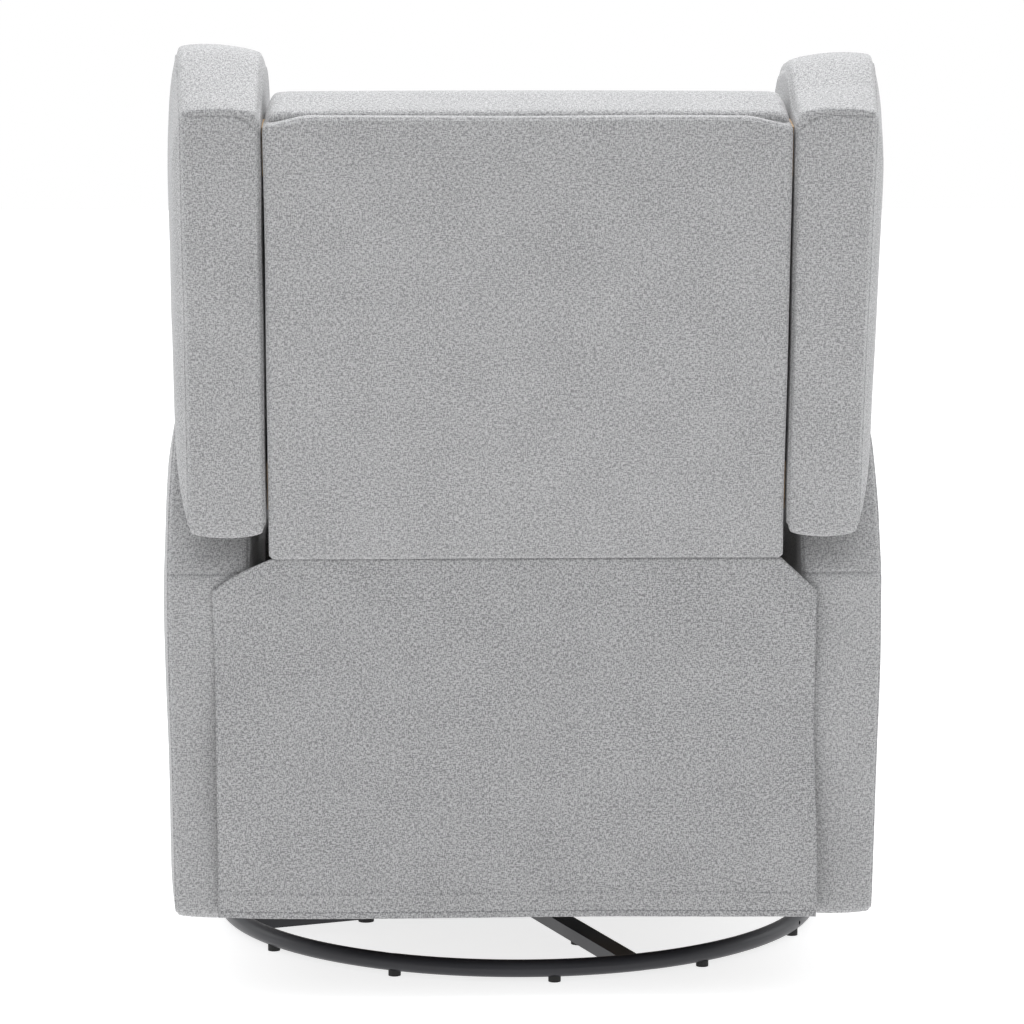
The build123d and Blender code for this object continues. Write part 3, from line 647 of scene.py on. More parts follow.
@dataclass
class PaddedBlock:
    """An upholstered block: a closed outline in one plane, wrapped by a band and two panels.

    Attributes:
        outline: samples of the outline, anticlockwise, as (a, b).
        thickness: distance between the two panels.
        edge: radius of the padded edges.
        crown: how far each panel swells at its middle.
        crown_power: how close to its edge a panel reaches that swell.
        belly: how far the band swells between its seams.
        groove_scale: how deep the edge seams are, against a plain seam.
        cross: gives the distance of (a, b, across) from the nearest cross seam.
        cross_depth: how deep the cross seam is.
        rings: rings of cells from a panel's edge to its middle.
    """

    outline: np.ndarray
    thickness: float
    edge: float = EDGE_ROUND
    crown: float = 0.006
    belly: float = 0.002
    groove_scale: float = 1.0
    crown_power: float = 2.4
    cross: Callable[[np.ndarray, np.ndarray], np.ndarray] | None = None
    cross_depth: float = SEAM_DEPTH
    rings: int = 16

    def section(self) -> tuple[np.ndarray, np.ndarray]:
        """The band and its two rounded edges as (inset, across) samples and their seam distance."""
        turns = 9
        angles = [math.pi / 2 * turn / turns for turn in range(turns + 1)]
        low = [(self.edge - self.edge * math.sin(a), self.edge - self.edge * math.cos(a)) for a in angles]
        run = self.thickness - 2 * self.edge
        steps = max(6, int(run / 0.004))
        near = [self.edge + 0.001 * step for step in range(1, 5)]
        flat = [self.edge + run * step / steps for step in range(1, steps)]
        flat = [x for x in flat if near[-1] + 0.001 < x < self.thickness - near[-1] - 0.001]
        middle = near + flat + [self.thickness - x for x in reversed(near)]
        band = [(0.0, x) for x in middle]
        high = [(inset, self.thickness - across) for inset, across in reversed(low)]
        samples = np.array(low + band + high)
        along = np.concatenate([[0], np.cumsum(np.hypot(*np.diff(samples, axis=0).T))])
        place = self.edge * math.pi / 4
        reach = np.minimum(np.abs(along - place), np.abs(along[-1] - along - place))
        across = samples[:, 1]
        swell = np.clip(1 - ((across - self.thickness / 2) / (self.thickness / 2)) ** 2, 0, 1)
        samples[:, 0] -= self.belly * swell * (samples[:, 0] < self.edge * 0.999)
        return samples, reach

    def build(
        self, name: str, place: Callable[[np.ndarray], np.ndarray], material: bpy.types.Material
    ) -> bpy.types.Object:
        """Makes the block's mesh.

        Args:
            name: the object's name.
            place: turns rows of (a, b, across) into x, y, z.
            material: the cloth.

        Returns:
            The object, closed and facing outwards.
        """
        line = self.outline
        centre = (line.max(axis=0) + line.min(axis=0)) / 2
        spoke = line - centre
        length = np.hypot(spoke[:, 0], spoke[:, 1])[:, None]
        ray = spoke / length
        ahead = np.roll(line, -1, axis=0) - np.roll(line, 1, axis=0)
        normal = np.column_stack([ahead[:, 1], -ahead[:, 0]])
        normal /= np.hypot(normal[:, 0], normal[:, 1])[:, None]
        slant = np.clip((normal * ray).sum(axis=1), 0.45, 1)[:, None]
        samples, seam_reach = self.section()
        rows = []
        for (inset, across), reach in zip(samples, seam_reach):
            sunk = inset + self.groove_scale * float(groove(np.array([reach]))[0])
            sink = np.full((len(line), 1), sunk)
            if self.cross is not None:
                sink[:, 0] += groove(self.cross(line, np.full(len(line), across)), self.cross_depth)
            rows.append(np.column_stack([line - ray * sink / slant, np.full(len(line), across)]))
        low_edge = rows[0]
        high_edge = rows[-1]
        inner_low, inner_high = [], []
        for ring in range(1, self.rings + 1):
            share = ring / (self.rings + 1)
            swell = self.crown * (1 - (1 - share) ** self.crown_power)
            for edge_row, target, sign in ((low_edge, inner_low, -1), (high_edge, inner_high, 1)):
                flat = edge_row[:, :2] + (centre - edge_row[:, :2]) * share
                target.append(np.column_stack([flat, edge_row[:, 2] + sign * swell]))
        rows = list(reversed(inner_low)) + rows + inner_high
        count = len(line)
        grid = np.concatenate(rows)
        ends = np.array(
            [[centre[0], centre[1], -self.crown], [centre[0], centre[1], self.thickness + self.crown]]
        )
        faces = []
        for row in range(len(rows) - 1):
            for index in range(count):
                after = (index + 1) % count
                this, above = row * count, (row + 1) * count
                faces.append((this + index, this + after, above + after, above + index))
        last = (len(rows) - 1) * count
        low_pole, high_pole = len(grid), len(grid) + 1
        for index in range(count):
            after = (index + 1) % count
            faces.append((after, index, low_pole))
            faces.append((last + index, last + after, high_pole))
        obj = mesh_object(name, place(np.concatenate([grid, ends])), faces, material)
        outward(obj)
        return obj


def surface_points(obj: bpy.types.Object) -> tuple[np.ndarray, np.ndarray]:
    """The places and the normals of a mesh's vertices.

    Args:
        obj: the mesh object.

    Returns:
        Two arrays with one row for each vertex.
    """
    count = len(obj.data.vertices)
    places = np.empty(count * 3)
    normals = np.empty(count * 3)
    obj.data.vertices.foreach_get("co", places)
    obj.data.vertices.foreach_get("normal", normals)
    return places.reshape(-1, 3), normals.reshape(-1, 3)


def move_points(obj: bpy.types.Object, places: np.ndarray) -> None:
    """Moves a mesh's vertices to new places.

    Args:
        obj: the mesh object.
        places: rows of x, y and z.
    """
    obj.data.vertices.foreach_set("co", places.ravel())
    obj.data.update()


def rumple(obj: bpy.types.Object, height: float, size: float, seed: int) -> None:
    """Moves a surface in and out by soft noise, as cloth over foam does.

    Args:
        obj: the mesh object.
        height: the largest movement in metres.
        size: the length of one undulation in metres.
        seed: shifts the noise.
    """
    offset = Vector((seed * 7.13, seed * 3.71, seed * 1.37))
    places, normals = surface_points(obj)
    waves = np.array([noise.noise(Vector(place) / size + offset) for place in places])
    move_points(obj, places + normals * (height * waves)[:, None])


def slit(obj: bpy.types.Object, path: Sequence[Vector], depth: float, half: float) -> None:
    """Presses a sewn seam into a surface along a path of points.

    Args:
        obj: the mesh object.
        path: points along the seam, close together.
        depth: how deep the seam sits.
        half: half of its width.
    """
    line = np.array([tuple(point) for point in path])
    places, normals = surface_points(obj)
    near = np.full(len(places), 1.0)
    for start, end in zip(line[:-1], line[1:]):
        run = end - start
        share = np.clip(((places - start) @ run) / max(run @ run, 1e-12), 0, 1)
        gap = np.linalg.norm(places - (start + share[:, None] * run), axis=1)
        near = np.minimum(near, gap)
    move_points(obj, places - normals * groove(near, depth, half)[:, None])


def inflate(
    obj: bpy.types.Object,
    voxel: float,
    pressure: float,
    cap: float,
    frames: int = 16,
    share: Callable[[np.ndarray], np.ndarray] | None = None,
) -> None:
    """Swells a closed mesh with a cloth simulation and leaves the result in its mesh.

    Args:
        obj: the mesh object, a little smaller than the finished pad.
        voxel: the size of the cloth's mesh.
        pressure: the pressure inside.
        cap: the furthest that a point may move.
        frames: how many frames to run.
        share: how much of the movement each point keeps, from 0 to 1.
    """
    remesh = obj.modifiers.new("even_mesh", "REMESH")
    remesh.mode = "VOXEL"
    remesh.voxel_size = voxel
    bake(obj)
    before, _ = surface_points(obj)
    cloth = obj.modifiers.new("stuffing", "CLOTH")
    cloth.settings.use_pressure = True
    cloth.settings.uniform_pressure_force = pressure
    cloth.settings.effector_weights.gravity = 0
    cloth.settings.tension_stiffness = 18
    cloth.settings.compression_stiffness = 18
    cloth.settings.bending_stiffness = 1.5
    cloth.settings.quality = 5
    scene = bpy.context.scene
    for number in range(1, frames + 1):
        scene.frame_set(number)
        bpy.context.view_layer.update()
    bake(obj)
    scene.frame_set(1)
    after, _ = surface_points(obj)
    move = after - before
    length = np.linalg.norm(move, axis=1)[:, None]
    move *= np.minimum(1, cap / np.maximum(length, 1e-9))
    if share is not None:
        move *= share(before)[:, None]
    move_points(obj, before + move)
    obj.data.polygons.foreach_set("use_smooth", [True] * len(obj.data.polygons))
    obj.data.update()


def bake(obj: bpy.types.Object) -> None:
    """Replaces an object's mesh by what its modifiers make of it, and removes them.

    Args:
        obj: the mesh object.
    """
    graph = bpy.context.evaluated_depsgraph_get()
    materials = list(obj.data.materials)
    mesh = bpy.data.meshes.new_from_object(obj.evaluated_get(graph))
    obj.modifiers.clear()
    obj.data = mesh
    mesh.materials.clear()
    for material in materials:
        mesh.materials.append(material)


def subdivide(obj: bpy.types.Object, levels: int) -> None:
    """Smooths a mesh by whole subdivision levels and keeps the result.

    Args:
        obj: the mesh object.
        levels: how many levels.
    """
    modifier = obj.modifiers.new("smooth", "SUBSURF")
    modifier.levels = levels
    modifier.render_levels = levels
    bake(obj)


# ---------------------------------------------------------------- studio
@dataclass
class Studio:
    """A pale floor, soft light from above and the sides, and the camera behind the chair."""

    distance: float = 4.2
    height: float = 1.03
    azimuth: float = math.radians(1.4)
    turn: float = math.radians(0.077)
    pitch: float = math.radians(7.72)
    lens: float = 130.64
    floor_size: float = 30.0
    surround: float = 0.62
    overhead: float = 0.75
    rear_dimming: float = 0.45
    floor_glow: float = 0.78

    def camera(self) -> None:
        """Adds the camera and makes it the scene's own."""
        data = bpy.data.cameras.new("camera")
        data.lens = self.lens
        data.sensor_width = 36.0
        data.clip_end = 60.0
        obj = bpy.data.objects.new("camera", data)
        heading = self.azimuth - self.turn
        obj.location = (
            self.distance * math.sin(self.azimuth),
            self.distance * math.cos(self.azimuth),
            self.height,
        )
        aim = Vector(
            (
                -math.sin(heading) * math.cos(self.pitch),
                -math.cos(heading) * math.cos(self.pitch),
                -math.sin(self.pitch),
            )
        )
        obj.rotation_euler = aim.to_track_quat("-Z", "Y").to_euler()
        bpy.context.scene.collection.objects.link(obj)
        bpy.context.scene.camera = obj

    def softbox(self, name: str, place: Triple, target: Triple, size: float, power: float) -> None:
        """Adds one square area light.

        Args:
            name: the light's name.
            place: where it hangs.
            target: what it points at.
            size: the side of its square.
            power: its power in watts.
        """
        data = bpy.data.lights.new(name, "AREA")
        data.size = size
        data.energy = power
        obj = bpy.data.objects.new(name, data)
        obj.location = place
        aim = Vector(target) - Vector(place)
        obj.rotation_euler = aim.to_track_quat("-Z", "Y").to_euler()
        bpy.context.scene.collection.objects.link(obj)

    def world(self) -> None:
        """A white surround: bright overhead, in front and at the sides, dim behind the chair."""
        world = bpy.data.worlds.new("studio")
        world.use_nodes = True
        world.node_tree.nodes.clear()
        tree = Tree(world.node_tree)
        direction = tree.add("ShaderNodeTexCoord").outputs["Generated"]
        split = tree.add("ShaderNodeSeparateXYZ", {0: direction})
        rear = tree.add("ShaderNodeMath", {0: split.outputs[1], 1: 0.0}, operation="MAXIMUM").outputs[0]
        above = tree.add("ShaderNodeMath", {0: split.outputs[2], 1: 0.0}, operation="MAXIMUM").outputs[0]
        dim = tree.math("MULTIPLY", rear, -self.rear_dimming)
        glow = tree.math("MULTIPLY", tree.math("POWER", above, 2.0), self.overhead)
        level = tree.math("ADD", tree.math("ADD", dim, glow), self.surround)
        level = tree.add("ShaderNodeMath", {0: level, 1: 0.02}, operation="MAXIMUM").outputs[0]
        path = tree.add("ShaderNodeLightPath")
        seen = tree.add("ShaderNodeBackground", {"Color": (1, 1, 1, 1), "Strength": 1.0})
        lit = tree.add("ShaderNodeBackground", {"Color": (0.97, 0.985, 1, 1), "Strength": level})
        to_camera = path.outputs["Is Camera Ray"]
        mix = tree.add("ShaderNodeMixShader", {0: to_camera, 1: lit.outputs[0], 2: seen.outputs[0]})
        tree.add("ShaderNodeOutputWorld", {"Surface": mix.outputs[0]})
        bpy.context.scene.world = world

    def floor(self) -> None:
        """A wide pale floor under the chair."""
        half = self.floor_size / 2
        corners = np.array([(-half, -half, 0), (half, -half, 0), (half, half, 0), (-half, half, 0)])
        material = bpy.data.materials.new("pale_floor")
        material.use_nodes = True
        shader = material.node_tree.nodes["Principled BSDF"]
        shader.inputs["Base Color"].default_value = (0.5, 0.5, 0.5, 1)
        shader.inputs["Roughness"].default_value = 0.9
        shader.inputs["Emission Color"].default_value = (1, 1, 1, 1)
        shader.inputs["Emission Strength"].default_value = self.floor_glow
        obj = mesh_object("studio_floor", corners, [(0, 1, 2, 3)], material)

    def build(self) -> None:
        """Sets up the whole studio."""
        self.camera()
        self.world()
        self.floor()
        self.softbox("top_softbox", (0.0, -0.2, 3.2), (0, 0.0, 0.5), 2.4, 66.0)
        self.softbox("left_softbox", (3.0, -0.9, 1.3), (0, 0, 0.6), 1.8, 7.0)
        self.softbox("right_softbox", (-3.0, -0.9, 1.3), (0, 0, 0.6), 1.8, 9.0)
        bpy.context.scene.view_settings.view_transform = "Standard"


# ---------------------------------------------------------------- hard parts
@dataclass
class HardParts:
    """The CAD nodes that keep their shape and only get a finish.

    Attributes:
        finishes: the chair's materials.
    """

    finishes: Finishes

    def dress(self) -> None:
        """Gives each hard node the material of its slot."""
        by_slot = {
            "black_tube": self.finishes.tube,
            "bearing_steel": self.finishes.steel,
            "mechanism_steel": self.finishes.enamel,
            "spring_wire": self.finishes.spring,
            "zinc_fasteners": self.finishes.zinc,
            "foot_rubber": self.finishes.rubber,
            "frame_timber": self.finishes.timber,
        }
        for entry in frame["record"]["subparts"]:
            material = by_slot.get(entry["material_slot"])
            obj = frame["nodes"].get(entry["node"])
            if material is None or obj is None:
                continue
            for index in range(max(1, len(obj.material_slots))):
                if not obj.material_slots:
                    obj.data.materials.append(material)
                obj.material_slots[index].material = material


# ---------------------------------------------------------------- upholstery
def back_foot_y() -> float:
    """Y of the foot of the back's rear face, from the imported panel."""
    low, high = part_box("outer_back_panel")
    return high[1] - BACK_RISE * math.sin(LEAN)


@dataclass
class Wing:
    """One padded wing beside the back: a straight band, an outer and an inner panel.

    Attributes:
        side: which side it is on.
        finishes: the chair's materials.
        inner: X of the inner panel's edge.
        rear_width: width of the rear face.
        depth: from the rear face to the front edge.
        flare: how much wider the wing is at its front edge.
        crown: how far each panel swells at its middle before it is shaped.
        seam_rise: height of the cross seam over the foot of the back.
        crown_outer: how far the outer panel stands out at its middle.
        inner_round: radius of the top's inner edge.
        top_slope: how much the top falls towards its inner edge.
        slope_start: height over the foot of the back at which that fall begins.
        slope_run: height over which it grows to the full amount.
        right_drop: how much lower the right wing's top sits.
        right_extra: how much wider the right wing is.
        right_foot_taper: how much narrower the right wing is at its foot.
        taper_rise: height over which that narrowing dies away.
    """

    side: Side
    finishes: Finishes
    inner: float = 0.2680
    rear_width: float = 0.081
    depth: float = 0.26
    flare: float = 0.020
    crown: float = 0.005
    seam_rise: float = 0.4615
    crown_outer: float = 0.010
    inner_round: float = 0.007
    top_slope: float = 0.007
    slope_start: float = 0.38
    slope_run: float = 0.09
    right_drop: float = 0.008
    right_extra: float = 0.002
    right_foot_taper: float = 0.008
    taper_rise: float = 0.46

    def outline(self, foot_y: float) -> np.ndarray:
        """The wing from the side, upright, as samples of (y, z).

        Args:
            foot_y: Y of the back's foot.

        Returns:
            The closed outline, one sample in each row.
        """
        corners = [
            (0.0, 0.022),
            (0.104, 0.124),
            (0.238, 0.130),
            (0.262, 0.330),
            (0.256, 0.482),
            (0.140, 0.512),
            (0.0, 0.466),
        ]
        radii = [0.004, 0.03, 0.02, 0.25, 0.06, 0.12, 0.007]
        places = [(foot_y - forward, BACK_FOOT_HEIGHT + up) for forward, up in corners]
        line = rounded(places, radii, 0.005)
        seam_z = BACK_FOOT_HEIGHT + self.seam_rise
        return densify(line, lambda p: (np.abs(p[:, 1] - seam_z) < 0.02) & (p[:, 0] > foot_y - 0.05), 4)

    def seam_line(self, foot_y: float) -> Callable[[np.ndarray, np.ndarray], np.ndarray]:
        """The cross seam of the rear face, which turns down at its inner end.

        Args:
            foot_y: Y of the back's foot.

        Returns:
            The function that PaddedBlock calls as its cross seam.
        """

        def reach(line: np.ndarray, across: np.ndarray) -> np.ndarray:
            """Distance of each sample from the seam.

            Args:
                line: samples of the outline.
                across: how far across the block each sample is.

            Returns:
                One distance for each sample.
            """
            inner_dip = 0.011 * np.exp(-((across / 0.013) ** 2))
            outer_rise = 0.004 * np.exp(-(((self.rear_width - across) / 0.01) ** 2))
            height = BACK_FOOT_HEIGHT + self.seam_rise - inner_dip + outer_rise
            far = np.where(line[:, 0] > foot_y - 0.02, 0.0, 1.0)
            return np.abs(line[:, 1] - height) + far

        return reach

    def build(self) -> bpy.types.Object:
        """Makes the wing and hands it to its body.

        Returns:
            The wing's object.
        """
        foot_y = back_foot_y()
        block = PaddedBlock(
            self.outline(foot_y),
            self.rear_width,
            crown=self.crown,
            belly=0.0025,
            cross=self.seam_line(foot_y),
            crown_power=6.0,
            groove_scale=1.5,
        )
        sign = self.side.value
        width = self.rear_width
        extra = self.right_extra if self.side is Side.RIGHT else 0.0
        lower = self.right_drop if self.side is Side.RIGHT else 0.0
        taper = self.right_foot_taper if self.side is Side.RIGHT else 0.0

        def place(rows: np.ndarray) -> np.ndarray:
            """Turns (y, z, across) into the leaning, flared wing.

            Args:
                rows: one row for each point of the block.

            Returns:
                Rows of x, y and z.
            """
            forward = np.clip((foot_y - rows[:, 0]) / self.depth, 0, 1)
            share = np.clip(rows[:, 2] / width, 0, 1)
            outside = np.clip(rows[:, 2] - width, 0, None) / self.crown
            inside = np.clip(-rows[:, 2], 0, None) / self.crown
            fall = np.clip(1 - (rows[:, 1] - BACK_FOOT_HEIGHT) / self.taper_rise, 0, 1)
            across = np.clip(rows[:, 2], 0, width) + share * (extra + forward * self.flare - fall * taper)
            x = sign * (self.inner + across + outside * self.crown_outer - inside * INNER_CROWN)
            up = rows[:, 1] - BACK_FOOT_HEIGHT
            rise = np.clip((up - self.slope_start) / self.slope_run, 0, 1) ** 2
            rise *= np.clip(forward * 4, 0, 1)
            short = np.clip(self.inner_round - rows[:, 2], 0, self.inner_round)
            drop = self.inner_round - np.sqrt(self.inner_round**2 - short**2)
            z = rows[:, 1] - rise * (0.8 * drop + (1 - share) * self.top_slope + lower)
            return lean_back(np.column_stack([x, rows[:, 0], z]), foot_y)

        word = self.side.word
        obj = block.build(f"{word}_wing", place, self.finishes.cloth)
        rumple(obj, 0.0012, 0.11, 3 + sign)
        lay_cloth(obj, LEAN)
        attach(obj, BACK_BODY)
        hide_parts(f"{word}_wing_pad", f"{word}_wing_board")
        return obj


@dataclass
class Arm:
    """One upholstered arm: straight inside, full outside, with a seam across its rear.

    Attributes:
        side: which side it is on.
        finishes: the chair's materials.
        inner: X of the inner face.
        thickness: width of the arm between its panels.
        seam_height: height of the cross seam on the rear.
        crown: how far each panel swells at its middle before it is shaped.
        bulge: how far the outer panel stands out at its middle.
        foot_taper: how much narrower the arm is at its foot.
        top_taper: how much narrower it is at its top.
        right_less: how much narrower the right arm is.
        foot_lean: how much further forward the rear edge is at the foot.
        slope_forward: from the rear to the top of the sloping rear.
        slope_drop: from the arm's top down to there.
        top_forward: from the rear to the level top.
        rear_zone: Y behind which the cross seam runs.
    """

    side: Side
    finishes: Finishes
    inner: float = 0.286
    thickness: float = 0.0865
    seam_height: float = 0.450
    crown: float = 0.004
    bulge: float = 0.010
    foot_taper: float = 0.004
    top_taper: float = 0.005
    right_less: float = 0.003
    foot_lean: float = 0.010
    slope_forward: float = 0.079
    slope_drop: float = 0.022
    top_forward: float = 0.133
    rear_zone: float = 0.3

    def outline(self) -> np.ndarray:
        """The arm from the side as samples of (y, z)."""
        low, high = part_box(f"{self.side.word}_arm_outer_panel")
        corners = [
            (low[1], low[2]),
            (high[1] - self.foot_lean, low[2]),
            (high[1], self.seam_height),
            (high[1] - self.slope_forward, high[2] - self.slope_drop),
            (high[1] - self.top_forward, high[2]),
            (low[1], high[2]),
        ]
        line = rounded(corners, [0.006, 0.006, 0.03, 0.03, 0.03, 0.075], 0.008)
        height = self.seam_height
        zone = self.rear_zone
        return densify(line, lambda p: (np.abs(p[:, 1] - height) < 0.02) & (p[:, 0] > zone), 10)

    def build(self) -> bpy.types.Object:
        """Makes the arm and hands it to the seat.

        Returns:
            The arm's object.
        """
        height = self.seam_height

        def reach(line: np.ndarray, across: np.ndarray) -> np.ndarray:
            """Distance of each sample from the cross seam of the rear.

            Args:
                line: samples of the outline.
                across: how far across the block each sample is.

            Returns:
                One distance for each sample.
            """
            return np.abs(line[:, 1] - height) + np.where(line[:, 0] > self.rear_zone, 0.0, 1.0)

        block = PaddedBlock(
            self.outline(),
            self.thickness,
            edge=EDGE_ROUND,
            crown=self.crown,
            belly=0.003,
            cross=reach,
            cross_depth=0.0026,
            rings=22,
            crown_power=7.0,
            groove_scale=1.8,
        )
        sign = self.side.value
        low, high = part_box(f"{self.side.word}_arm_outer_panel")
        less = self.right_less if self.side is Side.RIGHT else 0.0

        def place(rows: np.ndarray) -> np.ndarray:
            """Turns (y, z, across) into the arm, narrower at its foot and full outside.

            Args:
                rows: one row for each point of the block.

            Returns:
                Rows of x, y and z.
            """
            rise = (rows[:, 1] - low[2]) / (high[2] - low[2])
            taper = self.foot_taper * np.clip(1 - rise / 0.6, 0, 1) ** 1.2 + less
            taper += self.top_taper * np.clip((rise - 0.8) / 0.2, 0, 1) ** 1.5
            share = np.clip(rows[:, 2] / self.thickness, 0, 1)
            outside = np.clip(rows[:, 2] - self.thickness, 0, None) / self.crown
            inside = np.clip(-rows[:, 2], 0, None) / self.crown
            across = np.clip(rows[:, 2], 0, self.thickness) - taper * share
            across += outside * self.bulge - inside * INNER_CROWN
            return np.column_stack([sign * (self.inner + across), rows[:, 0], rows[:, 1]])

        word = self.side.word
        obj = block.build(f"{word}_arm", place, self.finishes.cloth)
        rumple(obj, 0.0014, 0.13, 11 + sign)
        lay_cloth(obj)
        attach(obj, SEAT_BODY)
        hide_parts(*(f"{word}_arm_{part}" for part in ("outer_panel", "inner_panel", "edge_pads")))
        return obj


@dataclass
class BackShell:
    """The flat rear panel of the back with its narrow side boxing.

    Attributes:
        finishes: the chair's materials.
        half: half of its width.
        depth: depth of the side boxing.
        top: height of its top seam over its foot.
        corner_drop: how much lower the seam is at the two top corners.
        level_share: the part of the top seam that is level.
    """

    finishes: Finishes
    half: float = 0.2655
    depth: float = 0.062
    top: float = 0.462
    corner_drop: float = 0.010
    level_share: float = 0.84

    def build(self) -> bpy.types.Object:
        """Makes the rear panel and hands it to the back.

        Returns:
            The panel's object.
        """
        foot_y = back_foot_y()
        base = BACK_FOOT_HEIGHT
        corners = [
            (-self.half, base),
            (self.half, base),
            (self.half, base + self.top - self.corner_drop),
            (self.half * self.level_share, base + self.top),
            (-self.half * self.level_share, base + self.top),
            (-self.half, base + self.top - self.corner_drop),
        ]
        line = rounded(corners, [0.004, 0.004, 0.006, 0.08, 0.08, 0.006], 0.006)
        block = PaddedBlock(line, self.depth, edge=0.004, crown=0.004, belly=0.0005, rings=20)

        def place(rows: np.ndarray) -> np.ndarray:
            """Turns (x, z, across) into the leaning panel.

            Args:
                rows: one row for each point of the block.

            Returns:
                Rows of x, y and z.
            """
            upright = np.column_stack([rows[:, 0], foot_y - rows[:, 2], rows[:, 1]])
            return lean_back(upright, foot_y)

        obj = block.build("back_rear_panel", place, self.finishes.cloth)
        rumple(obj, 0.001, 0.16, 21)
        lay_cloth(obj, LEAN)
        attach(obj, BACK_BODY)
        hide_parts("outer_back_panel")
        return obj


@dataclass
class BackCushion:
    """The inner back: a thick cushion rolled over the top of the frame, with sewn channels.

    Attributes:
        finishes: the chair's materials.
        half: half of its width.
        channels: heights of its sewn channels over its foot.
        puff: the furthest that the simulation may move its cloth.
        front: from the back's rear face to the front of the cushion's foot.
        bend: height over the foot at which the front starts to slope back.
        slope: how far it slopes back for each metre of height.
        crest: height over the foot at which the swelling ends.
    """

    finishes: Finishes
    half: float = 0.2660
    channels: Sequence[float] = (0.155, 0.300)
    puff: float = 0.011
    front: float = 0.262
    bend: float = 0.10
    slope: float = 0.030 / 0.17
    crest: float = 0.40

    def outline(self, foot_y: float) -> np.ndarray:
        """The cushion from the side, upright, as samples of (y, z).

        Args:
            foot_y: Y of the back's foot.

        Returns:
            The closed outline, one sample in each row.
        """
        corners = [
            (0.066, 0.040),
            (0.250, 0.012),
            (self.front, self.bend),
            (0.228, 0.270),
            (0.168, 0.446),
            (0.080, 0.4755),
            (0.003, 0.464),
            (0.010, 0.450),
            (0.066, 0.440),
        ]
        radii = [0.01, 0.03, 0.12, 0.4, 0.05, 0.06, 0.006, 0.003, 0.004]
        places = [(foot_y - forward, BACK_FOOT_HEIGHT + up) for forward, up in corners]
        return rounded(places, radii, 0.006)

    def channel(self, height: float, foot_y: float) -> list[Vector]:
        """A sewn channel that runs across the front of the cushion.

        Args:
            height: how far the channel is above the cushion's foot.
            foot_y: Y of the back's foot.

        Returns:
            Points along the channel.
        """
        front = self.front - self.slope * max(0.0, height - self.bend)
        steps = np.linspace(-self.half + 0.006, self.half - 0.006, 24)
        rows = np.array([(x, foot_y - front - self.puff * 0.7, BACK_FOOT_HEIGHT + height) for x in steps])
        return [Vector(row) for row in lean_back(rows, foot_y)]

    def build(self) -> bpy.types.Object:
        """Makes the cushion, swells it and hands it to the back.

        Returns:
            The cushion's object.
        """
        foot_y = back_foot_y()
        block = PaddedBlock(
            self.outline(foot_y), 2 * self.half, edge=0.014, crown=0.001, belly=0.0005, rings=10
        )

        def place(rows: np.ndarray) -> np.ndarray:
            """Turns (y, z, across) into the leaning cushion.

            Args:
                rows: one row for each point of the block.

            Returns:
                Rows of x, y and z.
            """
            upright = np.column_stack([rows[:, 2] - self.half, rows[:, 0], rows[:, 1]])
            return lean_back(upright, foot_y)

        crest = BACK_FOOT_HEIGHT + self.crest

        def soft(places: np.ndarray) -> np.ndarray:
            """The front swells; the roll over the top and the edges against the wings stay.

            Args:
                places: rows of x, y and z.

            Returns:
                One share for each point, from 0 to 1.
            """
            below = np.clip((crest - places[:, 2]) / 0.10, 0, 1)
            middle = np.clip((self.half - 0.004 - np.abs(places[:, 0])) / 0.02, 0, 1)
            ahead = np.clip((foot_y - 0.10 - places[:, 1]) / 0.03, 0, 1)
            return below * middle * ahead

        obj = block.build("back_cushion_cover", place, self.finishes.cloth)
        inflate(obj, 0.008, 4.0, self.puff, share=soft)
        subdivide(obj, 1)
        for height in self.channels:
            slit(obj, self.channel(height, foot_y), 0.006, 0.004)
        lay_cloth(obj, LEAN)
        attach(obj, BACK_BODY)
        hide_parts("back_cushion")
        return obj


